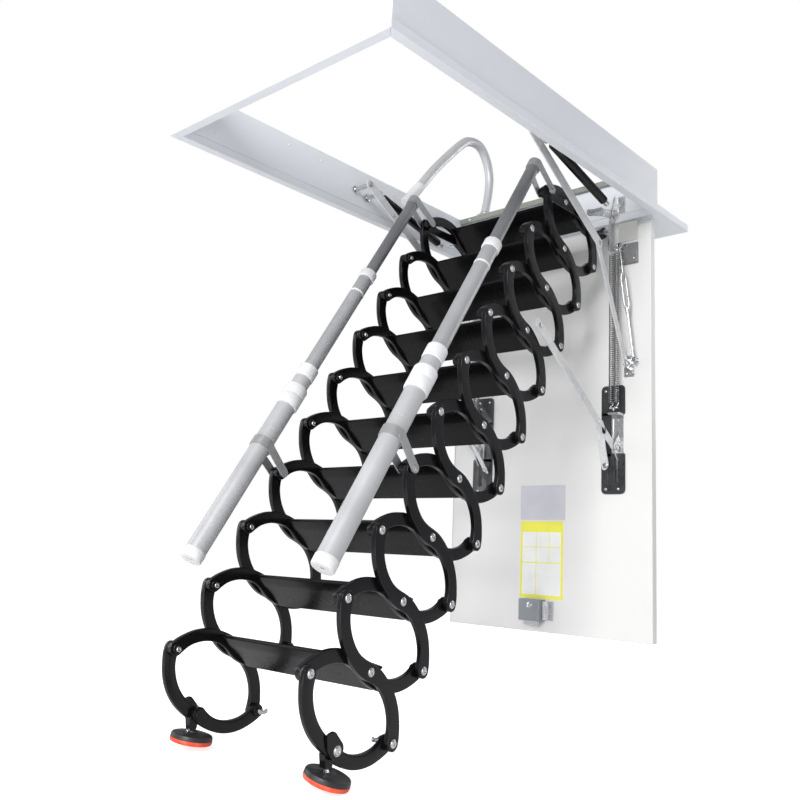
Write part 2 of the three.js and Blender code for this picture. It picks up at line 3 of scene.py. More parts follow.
import bmesh
import bpy
from mathutils import Matrix, Vector

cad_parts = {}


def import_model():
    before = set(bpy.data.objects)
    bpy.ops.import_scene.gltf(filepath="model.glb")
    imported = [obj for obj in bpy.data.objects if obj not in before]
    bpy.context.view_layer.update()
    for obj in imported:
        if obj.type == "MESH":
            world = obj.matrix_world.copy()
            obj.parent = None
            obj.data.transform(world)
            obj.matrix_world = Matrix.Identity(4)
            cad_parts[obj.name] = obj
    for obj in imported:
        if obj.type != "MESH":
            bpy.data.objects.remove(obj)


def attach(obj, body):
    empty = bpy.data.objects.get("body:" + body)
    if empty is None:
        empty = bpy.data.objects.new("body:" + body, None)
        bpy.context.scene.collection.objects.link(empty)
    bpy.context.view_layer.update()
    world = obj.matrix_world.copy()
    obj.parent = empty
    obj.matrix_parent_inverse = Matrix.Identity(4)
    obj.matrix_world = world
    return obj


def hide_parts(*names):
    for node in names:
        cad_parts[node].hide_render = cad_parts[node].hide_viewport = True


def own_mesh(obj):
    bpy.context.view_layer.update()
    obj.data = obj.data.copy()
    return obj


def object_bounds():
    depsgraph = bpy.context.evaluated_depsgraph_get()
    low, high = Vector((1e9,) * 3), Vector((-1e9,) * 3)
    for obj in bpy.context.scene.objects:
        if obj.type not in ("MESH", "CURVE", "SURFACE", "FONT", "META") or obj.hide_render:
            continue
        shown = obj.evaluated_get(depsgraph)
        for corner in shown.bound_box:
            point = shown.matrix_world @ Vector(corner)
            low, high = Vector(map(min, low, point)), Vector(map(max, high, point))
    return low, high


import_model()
CAD_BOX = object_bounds()

# ---- driving dimensions ----
ORIGIN = Vector((0, 580, 22))     # where the row frame's origin lies, in the opening frame
UNITS = 10                        # steps
HALF_LINK = 156                   # pivot to pivot, half of one S-shaped link
OPEN_ANGLE = math.radians(29.8)   # between a half link and the depth of the ladder
LEAN = math.radians(32.9)         # how far the ladder leans back from upright
TOP_PIVOT = (443, -32)            # rear pivot of the top step
BOW = 0.19                        # bow of a half link over its length
BAND, BOSS, HUB = 13.5, 15.5, 17.5
INNER_X = (193.5, 206)
OUTER_X = (206.3, 219)
BOLT_FACE = 222.6                 # outside of the bolt heads on the outer links

RAIL_X = 207
RAIL_OFFSET = 79
RAIL_FOOT = -299
CLAMP_UNIT = 3

FRAME_X, FRAME_Y, FLANGE_T = 364, 653.5, 22
OPEN_X, OPEN_FRONT, OPEN_REAR = 340, -628, 467
LINING_T, LINING_TOP = 12, 135
DOOR_X, DOOR_FRONT, DOOR_BACK, DOOR_BOTTOM, DOOR_TOP = 338, 464, 488, -1177, -5
DOOR_HINGE = (499, -38)
DOOR_FOLD = -66                   # top of the hollow part of the door
LATCH_CASE = (-60, 10, -1146, -1086)
HINGE_X = 255

ARM_X = 273
ARM_FRAME, ARM_ELBOW, ARM_DOOR = (-45, 67), (288, -125), (446, -428)
STRUT_X = 290
STRUT_FRAME, STRUT_LEVER = (5, 58), (316, -16)
LEVER_X, LEVER_PIVOT = (224, 229), (450, 22)
SPRING_X, SPRING_HOOK, SPRING_ANCHOR = 240, (436, -86), (434, -560)
STAY_X, STAY_LADDER, STAY_DOOR = (231, 236), (67, -398), (449, -660)
STAY_FOOT_X, STAY_FOOT_Z = 206, -709        # lower prong of the fork
GRAB_X, GRAB_R = 252.5, 14.5
GRAB_PATH = [(82, 48), (150, 128), (221, 213), (336, 331), (385, 361), (437, 363), (474, 329),
             (494, 275), (491, 214), (474, 138)]
FOOT_X, FOOT_DROP = 207, (-9, -57)

# directions on the right side of the ladder; both() mirrors them
OUTWARD, INWARD, FORWARD = (1, 0, 0), (-1, 0, 0), (0, -1, 0)

# ---- plane geometry ----
UP = (math.sin(LEAN), math.cos(LEAN))       # along the ladder
BACK = (math.cos(LEAN), -math.sin(LEAN))    # across the ladder, to the rear
PITCH = 2 * HALF_LINK * math.sin(OPEN_ANGLE)
DEPTH = 2 * HALF_LINK * math.cos(OPEN_ANGLE)


def add(p, q, k=1.0):
    return (p[0] + q[0] * k, p[1] + q[1] * k)


def sub(p, q):
    return (p[0] - q[0], p[1] - q[1])


def unit(p):
    size = math.hypot(*p)
    return (p[0] / size, p[1] / size)


def mid(p, q):
    return ((p[0] + q[0]) / 2, (p[1] + q[1]) / 2)


def rear_pivot(i):
    return add(TOP_PIVOT, UP, -(UNITS - i) * PITCH)


def front_pivot(i):
    return add(rear_pivot(i), BACK, -DEPTH)


def middle_pivot(i):
    return add(add(rear_pivot(i), BACK, -DEPTH / 2), UP, PITCH / 2)


def cell_centre(i):
    return mid(front_pivot(i), rear_pivot(i))


def about(at, points):
    """Points of the side plane, given from one place."""
    return [add(at, p) for p in points]


BOTTOM = add(middle_pivot(0), UP, -PITCH)


def bowed_arc(p, q, centre):
    """Points and tangents of an arc from p to q that bows away from centre."""
    steps = 22
    along = unit(sub(q, p))
    length = math.hypot(*sub(q, p))
    out = (-along[1], along[0])
    away = sub(mid(p, q), centre)
    if away[0] * out[0] + away[1] * out[1] < 0:
        out = (-out[0], -out[1])
    sag = BOW * length
    radius = (length * length / 4 + sag * sag) / (2 * sag)
    half = math.asin(length / 2 / radius)
    hub = add(mid(p, q), out, sag - radius)
    line = []
    for k in range(steps + 1):
        turn = -half + 2 * half * k / steps
        c, s = math.cos(turn), math.sin(turn)
        normal = (along[0] * s + out[0] * c, along[1] * s + out[1] * c)
        tangent = (along[0] * c - out[0] * s, along[1] * c - out[1] * s)
        line.append((add(hub, normal, radius), tangent))
    return line


def bump(t, at, reach):
    """A smooth hill of height 1 at one place."""
    x = min(1.0, abs(t - at) / reach)
    return 0.5 + 0.5 * math.cos(math.pi * x)


def full_width(t):
    ends = max(bump(t, 0, 0.12), bump(t, 1, 0.12))
    return BAND + (BOSS - BAND) * ends + (HUB - BAND) * bump(t, 0.5, 0.17)


def half_width(t):
    ends = max(bump(t, 0, 0.22), bump(t, 1, 0.22))
    return BAND + (BOSS - BAND) * ends


def rounded(points, radii, steps=5):
    """A closed outline with its corners rounded; radii is one number or one per corner."""
    outline = []
    count = len(points)
    for k, corner in enumerate(points):
        r = radii if isinstance(radii, (int, float)) else radii[k]
        a = sub(points[k - 1], corner)
        b = sub(points[(k + 1) % count], corner)
        reach = min(r, math.hypot(*a) * 0.49, math.hypot(*b) * 0.49)
        if reach < 0.05:
            outline.append(corner)
            continue
        start = add(corner, unit(a), reach)
        end = add(corner, unit(b), reach)
        for s in range(steps + 1):
            t = s / steps
            outline.append(((1 - t) ** 2 * start[0] + 2 * t * (1 - t) * corner[0] + t * t * end[0],
                            (1 - t) ** 2 * start[1] + 2 * t * (1 - t) * corner[1] + t * t * end[1]))
    return outline


# ---- mesh building ----
class Shape:
    """Collects closed pieces of mesh in the opening frame, then makes one Blender object of them."""

    def __init__(self):
        self.verts = []
        self.faces = []

    def raw(self, verts, faces):
        start = len(self.verts)
        self.verts += [Vector(v) for v in verts]
        self.faces += [[start + i for i in f] for f in faces]
        return self

    def loops(self, rings, wrap=False):
        """Stitches equal rings of points into a skin."""
        n = len(rings[0])
        verts = [v for ring in rings for v in ring]
        faces = []
        last = len(rings) if wrap else len(rings) - 1
        for r in range(last):
            a, b = r * n, ((r + 1) % len(rings)) * n
            faces += [[a + k, a + (k + 1) % n, b + (k + 1) % n, b + k] for k in range(n)]
        if not wrap:
            faces.append(list(range(n))[::-1])
            faces.append([(len(rings) - 1) * n + k for k in range(n)])
        return self.raw(verts, faces)

    def plate(self, outline, x0, x1):
        """A flat plate with its outline in the side plane."""
        return self.loops([[(x, y, z) for y, z in outline] for x in (x0, x1)])

    def upright(self, outline, y0, y1):
        """A flat plate with its outline in the plane of the door."""
        return self.loops([[(x, y, z) for x, z in outline] for y in (y0, y1)])

    def slab(self, outline, z0, z1):
        """A flat plate or a bar with its outline seen from below."""
        return self.loops([[(x, y, z) for x, y in outline] for z in (z0, z1)])

    def box(self, x0, x1, y0, y1, z0, z1):
        return self.plate([(y0, z0), (y1, z0), (y1, z1), (y0, z1)], x0, x1)

    def lathe(self, profile, start, direction, sides=32, wrap=False):
        """Turns [radius, distance] pairs about a line; wrap closes the profile on itself, as for a tube."""
        axis = Vector(direction).normalized()
        turn = Vector((0, 0, 1)).rotation_difference(axis)
        rings = []
        for radius, distance in profile:
            r = max(radius, 0.02)
            ring = []
            for k in range(sides):
                a = 2 * math.pi * k / sides
                ring.append(Vector(start) + turn @ Vector((r * math.cos(a), r * math.sin(a), distance)))
            rings.append(ring)
        return self.loops(rings, wrap=wrap)

    def rod(self, start, end, radius, sides=24, chamfer=0.8):
        """A round bar with eased ends."""
        length = (Vector(end) - Vector(start)).length
        c = min(chamfer, length / 3, radius / 2)
        profile = [(radius - c, 0), (radius, c), (radius, length - c), (radius - c, length)]
        return self.lathe(profile, start, Vector(end) - Vector(start), sides)

    def sweep(self, path, radius, sides=20):
        """A round tube along a smooth path of points; radius may be a function of the share of the path."""
        size = radius if callable(radius) else (lambda t: radius)
        points = [Vector(p) for p in path]
        rings = []
        side = None
        for k, p in enumerate(points):
            ahead = points[min(k + 1, len(points) - 1)] - points[max(k - 1, 0)]
            ahead.normalize()
            if side is None:
                side = ahead.orthogonal().normalized()
            side = (side - ahead * side.dot(ahead)).normalized()
            other = ahead.cross(side)
            r = size(k / (len(points) - 1))
            rings.append([p + side * r * math.cos(2 * math.pi * j / sides)
                          + other * r * math.sin(2 * math.pi * j / sides) for j in range(sides)])
        return self.loops(rings)

    def mirrored(self):
        """The same shape on the other side of the ladder."""
        twin = Shape()
        twin.verts = [Vector((-v.x, v.y, v.z)) for v in self.verts]
        twin.faces = [f[::-1] for f in self.faces]
        return twin

    def join(self, other):
        return self.raw(other.verts, other.faces)

    def make(self, name, body, material, slot, replaces=(), bevel=0.0, segments=2, smooth=35,
             flat=False):
        """The finished object, riding on a CAD body."""
        mesh = bpy.data.meshes.new(name)
        mesh.from_pydata([(v - ORIGIN) / 1000 for v in self.verts], [], self.faces)
        mesh.update()
        tidy = bmesh.new()
        tidy.from_mesh(mesh)
        bmesh.ops.remove_doubles(tidy, verts=tidy.verts, dist=1e-6)
        bmesh.ops.recalc_face_normals(tidy, faces=tidy.faces)
        tidy.to_mesh(mesh)
        tidy.free()
        obj = bpy.data.objects.new(name, mesh)
        bpy.context.scene.collection.objects.link(obj)
        mesh.materials.append(material)
        for face in mesh.polygons:
            face.use_smooth = True
        mesh.set_sharp_from_angle(angle=math.radians(smooth))
        if bevel:
            edge = obj.modifiers.new("eased_edges", "BEVEL")
            edge.width = bevel / 1000
            edge.segments = segments
            edge.limit_method = "ANGLE"
            edge.angle_limit = math.radians(smooth)
            edge.harden_normals = True
        if flat:
            even = obj.modifiers.new("flat_faces", "WEIGHTED_NORMAL")
            even.weight = 100
            even.keep_sharp = True
        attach(obj, body)
        if replaces:
            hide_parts(*replaces)
        return obj


def both(shape):
    """A shape together with its mirror twin."""
    return Shape().join(shape).join(shape.mirrored())


def pair(stem):
    """The names of a node and its mirror twin."""
    return [f"{stem}_right", f"{stem}_left"]


def make_sides(shape, stem, body, replaced, **how):
    """A black piece and its mirror twin as two objects."""
    for name, node, twin in zip(pair(stem), pair(replaced), (shape, shape.mirrored())):
        twin.make(name, body, BLACK, "black_gloss", [node], **how)


def make_steel(shape, name, body, **how):
    """Bright steel fasteners on both sides of the ladder."""
    both(shape).make(name, body, STEEL, "bright_steel", **how)


# ---- materials ----
class Nodes:
    """Short hand for a material's node tree."""

    def __init__(self, name):
        self.material = bpy.data.materials.new(name)
        self.material.use_nodes = True
        self.tree = self.material.node_tree
        self.surface = self.tree.nodes["Principled BSDF"]
        self.place = self.tree.nodes.new("ShaderNodeTexCoord").outputs["Object"]

    def node(self, kind, **inputs):
        made = self.tree.nodes.new(kind)
        for key, value in inputs.items():
            name = key.replace("_", " ")
            if name in made.inputs:
                self.feed(made.inputs[name], value)
            else:
                setattr(made, key, value)
        return made

    def feed(self, socket, value):
        if isinstance(value, bpy.types.NodeSocket):
            self.tree.links.new(value, socket)
        else:
            socket.default_value = value

    def stretched(self, scale):
        """Object coordinates with a different scale on each axis."""
        return self.node("ShaderNodeMapping", Vector=self.place, Scale=scale).outputs["Vector"]

    def noise(self, scale, detail=4.0, at=None, rough=0.55):
        made = self.node("ShaderNodeTexNoise", Vector=at or self.place, Scale=scale, Detail=detail,
                         Roughness=rough)
        return made.outputs["Fac"]

    def ramp(self, value, stops):
        """A colour ramp; stops are (position, colour or grey)."""
        made = self.node("ShaderNodeValToRGB", Fac=value)
        elements = made.color_ramp.elements
        while len(elements) < len(stops):
            elements.new(0.5)
        for element, (position, colour) in zip(elements, stops):
            element.position = position
            grey = isinstance(colour, (int, float))
            element.color = (colour, colour, colour, 1) if grey else (*colour, 1)
        return made.outputs["Color"]

    def mix(self, share, a, b):
        made = self.tree.nodes.new("ShaderNodeMix")
        made.data_type = "RGBA"
        for socket, value in ((made.inputs[0], share), (made.inputs[6], a), (made.inputs[7], b)):
            colour = isinstance(value, tuple) and len(value) == 3
            self.feed(socket, (*value, 1) if colour else value)
        return made.outputs[2]

    def maths(self, operation, a, b):
        made = self.tree.nodes.new("ShaderNodeMath")
        made.operation = operation
        self.feed(made.inputs[0], a)
        self.feed(made.inputs[1], b)
        return made.outputs[0]

    def bump(self, height, distance, strength=1.0):
        made = self.node("ShaderNodeBump", Height=height, Distance=distance / 1000, Strength=strength)
        return made.outputs["Normal"]

    def edges(self, low=0.52, high=0.6):
        """Bright on worn outside edges, dark elsewhere."""
        pointy = self.tree.nodes.new("ShaderNodeNewGeometry").outputs["Pointiness"]
        return self.ramp(pointy, [(low, 0.0), (high, 1.0)])

    def finish(self, **inputs):
        for key, value in inputs.items():
            if isinstance(value, tuple) and len(value) == 3:
                value = (*value, 1)
            self.feed(self.surface.inputs[key.replace("_", " ")], value)
        return self.material


def black_paint(name="gloss_black_paint", rough_low=0.2, peel=0.05, shine=0.3, worn=0.02):
    """Gloss black coating with a trace of orange peel, thin dust haze and lightly worn edges."""
    n = Nodes(name)
    haze = n.noise(9, 5)
    wear = n.maths("MULTIPLY", n.edges(0.54, 0.64), n.ramp(n.noise(60, 4), [(0.5, 0.0), (0.66, 1.0)]))
    base = n.mix(n.ramp(haze, [(0.4, 0.0), (0.8, 1.0)]), (0.003, 0.003, 0.0035), (0.0055, 0.0055, 0.006))
    colour = n.mix(wear, base, (worn, worn, worn))
    rough = n.ramp(n.noise(14, 4), [(0.3, rough_low), (0.7, rough_low + 0.05)])
    return n.finish(Base_Color=colour, Roughness=rough, Normal=n.bump(n.noise(150, 2), peel, 0.3),
                    Specular_IOR_Level=shine, Coat_Weight=0.08, Coat_Roughness=0.1)


def simple(name, tones, cloud, rough, grain, **extra):
    """Two tones in soft clouds, uneven gloss and a fine grain.

    cloud is noise scale and detail, and where the clouds start and end if they are sharpened;
    rough is noise scale, least and most; grain is noise scale and detail, depth in mm and strength.
    """
    n = Nodes(name)
    share = n.noise(*cloud[:2])
    if len(cloud) > 2:
        share = n.ramp(share, [(cloud[2], 0.0), (cloud[3], 1.0)])
    scale, least, most = rough
    gloss = n.ramp(n.noise(scale), [(0.3, least), (0.7, most)])
    return n.finish(Base_Color=n.mix(share, *tones), Roughness=gloss,
                    Normal=n.bump(n.noise(*grain[:2]), *grain[2:]), **extra)


def steel(name, level, rough):
    """Turned or drawn bare steel."""
    tones = ((level,) * 3, (level * 0.72, level * 0.73, level * 0.76))
    return simple(name, tones, (30, 4), (60, rough, rough + 0.14), (320, 4, 0.04, 0.3), Metallic=1.0)


def label_film(name, tint, shade):
    """Plain film with a soft sheen and faint wrinkles."""
    return simple(name, (tint, shade), (18, 4, 0.35, 0.75), (30, 0.3, 0.42), (45, 3, 0.12, 0.3))


def white_paint(name, tint, shade):
    """Satin white paint with a faint orange peel and faint darker streaks that run long along Z."""
    n = Nodes(name)
    cloud = n.ramp(n.noise(2.2, 5), [(0.35, 0.0), (0.75, 1.0)])
    # faint darker streaks stretched along Z, so they stand upright on the door; up to a tenth of the way to
    # grey
    long_streaks = n.ramp(n.noise(1.0, 6, n.stretched((40, 9, 3))), [(0.66, 0.0), (0.78, 1.0)])
    colour = n.mix(n.maths("MULTIPLY", cloud, 0.5), tint, shade)
    colour = n.mix(n.maths("MULTIPLY", long_streaks, 0.10), colour, (0.45, 0.45, 0.44))
    rough = n.ramp(n.noise(14, 5), [(0.3, 0.32), (0.7, 0.46)])
    return n.finish(Base_Color=colour, Roughness=rough, Normal=n.bump(n.noise(260, 3), 0.15, 0.3))


def zinc(name, bright=0.66, rough_low=0.22, metallic=0.92):
    """Zinc-plated sheet: faint spangle, rolling streaks and darker handling marks."""
    n = Nodes(name)
    spangle = n.node("ShaderNodeTexVoronoi", Vector=n.place, Scale=160.0).outputs["Color"]
    streak = n.noise(1.0, 4, n.stretched((500, 60, 60)))
    grey = n.mix(n.node("ShaderNodeRGBToBW", Color=spangle).outputs[0],
                 (bright * 0.86,) * 3, (bright, bright * 1.01, bright * 1.03))
    stain = n.ramp(n.noise(24, 5), [(0.55, 0.0), (0.8, 1.0)])
    colour = n.mix(n.maths("MULTIPLY", stain, 0.35), grey, (bright * 0.55,) * 3)
    rough = n.ramp(streak, [(0.3, rough_low), (0.7, rough_low + 0.16)])
    return n.finish(Base_Color=colour, Metallic=metallic, Roughness=rough,
                    Normal=n.bump(streak, 0.05, 0.3))


def satin_tube(name, light, dark, metallic, rough, along=(0, UP[0], UP[1])):
    """Drawn tube: fine lines along its length and soft cloudy variation."""
    n = Nodes(name)
    axis = Vector(along)
    turn = axis.rotation_difference(Vector((0, 0, 1))).to_euler()
    straight = n.node("ShaderNodeMapping", Vector=n.place, Rotation=tuple(turn), Scale=(1, 1, 0.02))
    lines = n.noise(900, 3, straight.outputs["Vector"])
    cloud = n.noise(7, 5)
    colour = n.mix(n.ramp(cloud, [(0.3, 0.0), (0.7, 1.0)]), light, dark)
    colour = n.mix(n.maths("MULTIPLY", lines, 0.16), colour, tuple(c * 0.7 for c in dark))
    return n.finish(Base_Color=colour, Metallic=metallic, Normal=n.bump(lines, 0.03, 0.25),
                    Roughness=n.ramp(n.noise(35, 4), [(0.3, rough), (0.7, rough + 0.12)]))


def red_rubber():
    """Moulded rubber with a pebbled skin and pale dust in the low spots."""
    n = Nodes("red_rubber")
    grain = n.node("ShaderNodeTexVoronoi", Vector=n.place, Scale=700.0).outputs["Distance"]
    dust = n.ramp(n.noise(55, 5), [(0.45, 0.0), (0.75, 1.0)])
    colour = n.mix(dust, (0.80, 0.07, 0.025), (0.86, 0.17, 0.10))
    return n.finish(Base_Color=colour, Roughness=n.ramp(n.noise(90), [(0.3, 0.5), (0.7, 0.72)]),
                    Normal=n.bump(grain, 0.25, 0.5))


def black_sheet():
    """Black coated sheet: satin, dusty in the low spots, rubbed bright at the rims."""
    n = Nodes("black_sheet")
    wear = n.maths("MULTIPLY", n.edges(0.53, 0.62), n.noise(80, 3))
    dust = n.ramp(n.noise(26, 5), [(0.4, 0.0), (0.8, 1.0)])
    colour = n.mix(dust, (0.016, 0.017, 0.018), (0.04, 0.041, 0.043))
    return n.finish(Base_Color=n.mix(wear, colour, (0.2, 0.2, 0.21)), Metallic=0.2,
                    Roughness=n.ramp(n.noise(40), [(0.3, 0.26), (0.7, 0.4)]),
                    Normal=n.bump(n.noise(500, 3), 0.08, 0.35))


BLACK = black_paint()
TREAD_BLACK = black_paint("tread_black_paint", 0.24, 0.02, 0.14, 0.006)
PLASTIC = simple("black_plastic", ((0.012, 0.012, 0.013), (0.03, 0.03, 0.032)), (40, 4), (30, 0.38, 0.55),
                 (900, 3, 0.1, 0.4))
WHITE = white_paint("white_frame_paint", (0.76, 0.78, 0.81), (0.70, 0.72, 0.76))
DOOR_PAINT = white_paint("white_door_paint", (0.77, 0.765, 0.75), (0.70, 0.695, 0.68))
ZINC = zinc("zinc_plate")
DULL_ZINC = zinc("dull_zinc", 0.42, 0.34)
GREY_TUBE = satin_tube("grey_tube", (0.30, 0.305, 0.315), (0.22, 0.225, 0.235), 0.55, 0.34)
MID_TUBE = satin_tube("silver_tube", (0.50, 0.505, 0.515), (0.40, 0.405, 0.415), 0.45, 0.34)
PALE_TUBE = satin_tube("pale_tube", (0.54, 0.545, 0.555), (0.44, 0.445, 0.455), 0.25, 0.36)
COLLAR = simple("white_plastic", ((0.76, 0.76, 0.77), (0.64, 0.64, 0.63)), (12, 4, 0.4, 0.8), (50, 0.36, 0.5),
                (700, 3, 0.08, 0.3), Subsurface_Weight=0.03)
RUBBER = red_rubber()
STEEL = steel("bright_steel", 0.72, 0.16)
SPRING_STEEL = steel("spring_steel", 0.3, 0.24)
PLASTIC_SHEET = black_sheet()
PALE_SHEET = white_paint("pale_sheet", (0.60, 0.60, 0.56), (0.52, 0.52, 0.48))
ZINC_CLAMP = zinc("clamp_zinc", 0.42, 0.34, 0.55)
ARM_ZINC = zinc("arm_zinc", 0.74, 0.34, 0.3)
GRAB_TUBE = satin_tube("grab_tube", (0.62, 0.63, 0.64), (0.5, 0.505, 0.515), 0.25, 0.36, (0, 0, 1))
LATCH_GREY = simple("cast_grey", ((0.24, 0.26, 0.28), (0.34, 0.36, 0.38)), (30, 5), (60, 0.4, 0.52),
                    (1300, 3, 0.12, 0.5), Metallic=0.6)
GREY_LABEL = label_film("grey_label", (0.62, 0.62, 0.66), (0.55, 0.55, 0.60))
YELLOW_LABEL = label_film("yellow_label", (0.90, 0.86, 0.10), (0.82, 0.78, 0.07))
CHANNEL_GREY = white_paint("channel_grey", (0.27, 0.285, 0.25), (0.19, 0.20, 0.175))
PAPER = label_film("label_paper", (0.88, 0.88, 0.86), (0.80, 0.80, 0.79))


# ---- fasteners ----
def button_bolt(shape, x, at, radius=8.0, sign=1, washer=True):
    """A round-headed socket bolt whose head points along X."""
    r = radius
    profile = [(r * 1.16, 0), (r * 1.16, 1.0), (r * 1.1, 1.3)] if washer else [(r, 0)]
    profile += [(r, 1.4), (r * 0.98, 2.2), (r * 0.86, 3.2), (r * 0.66, 3.6), (r * 0.45, 3.6),
                (r * 0.40, 3.4), (r * 0.38, 1.9), (0, 1.6)]
    shape.lathe(profile, (x * sign, at[0], at[1]), (sign, 0, 0), 24)


def hex_bolt(shape, start, direction, radius=7.0, height=4.5):
    """A hexagon head on a washer."""
    profile = [(radius * 1.35, 0), (radius * 1.35, 1.2)]
    shape.lathe(profile, start, direction, 24)
    top = Vector(start) + Vector(direction).normalized() * 1.1
    profile = [(radius, 0), (radius, height - 0.8), (radius * 0.84, height)]
    shape.lathe(profile, top, direction, 6)


def pan_screw(shape, start, direction, radius=4.0):
    """A domed screw head."""
    profile = [(radius, 0), (radius, 0.6), (radius * 0.8, 1.6), (radius * 0.4, 2.1), (0, 2.2)]
    shape.lathe(profile, start, direction, 20)


# ---- ladder links ----
def section(width, x0, x1):
    """Cross-section of a link: flat faces and narrow rounded edges, as (sideways, X) pairs."""
    k = min(1.0, width / 9.0)
    r, ease = 1.9 * k, 0.56 * k
    right = [(width, x1 - r), (width - ease, x1 - ease), (width - r, x1)]
    left = [(-s, x) for s, x in reversed(right)]
    back = [(-width, x0 + r), (-width + ease, x0 + ease), (-width + r, x0)]
    back += [(-s, x) for s, x in reversed(back)]
    return right + left + back


def link_body(shape, line, width, x0, x1):
    """Sweeps the link section along a centre line, with round ends."""
    rings = []
    first, last = line[0], line[-1]

    def ring(at, tangent, half):
        side = (-tangent[1], tangent[0])
        return [(x, *add(at, side, s)) for s, x in section(half, x0, x1)]

    ends = [k / 8 * math.pi / 2 for k in range(8)]
    for a in reversed(ends[1:]):
        rings.append(ring(add(first[0], first[1], -width(0) * math.sin(a)), first[1],
                          width(0) * math.cos(a)))
    for k, (at, tangent) in enumerate(line):
        rings.append(ring(at, tangent, width(k / (len(line) - 1))))
    for a in ends[1:]:
        rings.append(ring(add(last[0], last[1], width(1) * math.sin(a)), last[1],
                          width(1) * math.cos(a)))
    shape.loops(rings)


def boss(shape, at, x0, x1, radius=12.5):
    """A round pad on a link face around a pivot."""
    shape.lathe([(radius, 0), (radius, abs(x1 - x0) - 0.5), (radius - 0.6, abs(x1 - x0))],
                (x0, *at), (1 if x1 > x0 else -1, 0, 0), 28)


def full_line(start, middle, end, first_cell, second_cell):
    return bowed_arc(start, middle, first_cell) + bowed_arc(middle, end, second_cell)[1:]


def outer_line(i):
    return full_line(front_pivot(i + 1), middle_pivot(i), rear_pivot(i), cell_centre(i + 1), cell_centre(i))


def inner_line(i):
    return full_line(front_pivot(i), middle_pivot(i), rear_pivot(i + 1), cell_centre(i), cell_centre(i + 1))


def outer_link(number):
    """One S-shaped side link on each side, with its bolts."""
    i = number - 1
    top = number == UNITS
    body = f"links_{number}"
    link, bolts = Shape(), Shape()
    if top:
        line = bowed_arc(middle_pivot(i), rear_pivot(i), cell_centre(i))
        link_body(link, line, half_width, *OUTER_X)
        places = [middle_pivot(i), rear_pivot(i)]
    else:
        link_body(link, outer_line(i), full_width, *OUTER_X)
        places = [front_pivot(i + 1), middle_pivot(i), rear_pivot(i)]
    for at in places:
        boss(link, at, OUTER_X[1] - 1.5, OUTER_X[1] + 0.1, 12.8)
        button_bolt(bolts, OUTER_X[1] - 0.1, at, 7.4)
    make_sides(link, f"side_link_{number}", body, f"outer_link_{number}", smooth=60, flat=True)
    make_steel(bolts, f"link_bolts_{number}", body)


# ---- steps ----
TREAD_NOSE, TREAD_BACK, TREAD_RIDGE, TREAD_SKIN = (-35, 33), (61, 4), (-26, 9), 5
TREAD_HALF, CAP_INSIDE = 192.8, 189.5
APRON_FOOT = (39, -39)
RIBS = 9


def tread_outline():
    """Side profile of a tread: ribbed top falling to the rear, round nose and an apron beneath it."""
    along = unit(sub(TREAD_NOSE, TREAD_BACK))
    rise = (along[1], -along[0])
    length = math.hypot(*sub(TREAD_NOSE, TREAD_BACK)) - 12

    def on_top(distance, depth):
        return add(add(TREAD_BACK, along, distance), rise, -depth)

    top = [TREAD_BACK]
    for k in range(RIBS):
        start = 5 + length * k / RIBS
        top += [on_top(start, 0.9), on_top(start + 1, 0), on_top(start + 5, 0), on_top(start + 6, 0.9)]
    nose_y, nose_z = TREAD_NOSE
    foot_y, foot_z = APRON_FOOT
    nose = rounded([(nose_y, nose_z), (nose_y - 6, nose_z - 1), (nose_y - 8.5, nose_z - 6), TREAD_RIDGE,
                    (foot_y - 6, foot_z)], [2, 3, 5, 6, 0], 5)
    foot = rounded([(foot_y, foot_z), (foot_y, foot_z + 5), (foot_y - 4, foot_z + 5)], [1.5, 1, 0.5], 3)
    inside = rounded([(-21.5, 13), (nose_y + 2, nose_z - 6), on_top(3, TREAD_SKIN), on_top(0, TREAD_SKIN)],
                     [2, 2, 1, 0.5], 3)
    return inside + top + nose + foot


def step(number):
    """One step: tread, both inner side links and their lugs."""
    i = number - 1
    body = f"step_{number}"
    centre = middle_pivot(i)
    tread = Shape().plate(about(centre, tread_outline()), -TREAD_HALF, TREAD_HALF)
    cap = rounded(about(centre, [(-38, 29), (57, 2), (36, -36), (-24, 10)]), 2, 3)
    for x0, x1 in ((-TREAD_HALF, -CAP_INSIDE), (CAP_INSIDE, TREAD_HALF)):
        tread.plate(cap, x0, x1)
    tread.make(f"tread_{number}", body, TREAD_BLACK, "black_gloss", [body])

    link = Shape()
    link_body(link, inner_line(i), full_width, *INNER_X)
    web = rounded(about(centre, [(-8, 14), (-8, -9), (20, -9), (20, 14)]), 3, 3)
    link.plate(web, INNER_X[0] - 6, INNER_X[0] + 1)
    for at in (front_pivot(i), rear_pivot(i + 1)):
        boss(link, at, INNER_X[0] + 1, INNER_X[0] - 7, 11)
    both(link).make(f"inner_links_{number}", body, BLACK, "black_gloss", smooth=60, flat=True)

    pins = Shape()
    for at in (front_pivot(i), rear_pivot(i + 1)):
        button_bolt(pins, -(INNER_X[0] - 7), at, 6.2, -1, washer=False)
    ends = Shape()
    for y, z in about(centre, [(-14, 10), (32, -10)]):
        pan_screw(ends, (INNER_X[0] - 3.8, y, z), INWARD, 3.2)
    make_steel(pins.join(ends), f"step_pins_{number}", body)


for n in range(1, UNITS + 1):
    outer_link(n)
    step(n)


# ---- handrails ----
RAIL_UP = Vector((0, UP[0], UP[1]))
RAIL_TOP = (UNITS - 1 - CLAMP_UNIT) * PITCH      # the upper clamp pivot, above the lower one
COLLAR_FROM, COLLAR_TO, NECK_TO = 142, 205, 269
MIDDLE_FROM, MIDDLE_TO, UPPER_FROM = 150, 628, 560


def rail_point(height):
    """A point on the axis of the right handrail."""
    y, z = add(add(front_pivot(CLAMP_UNIT), BACK, -RAIL_OFFSET), UP, height)
    return Vector((RAIL_X, y, z))


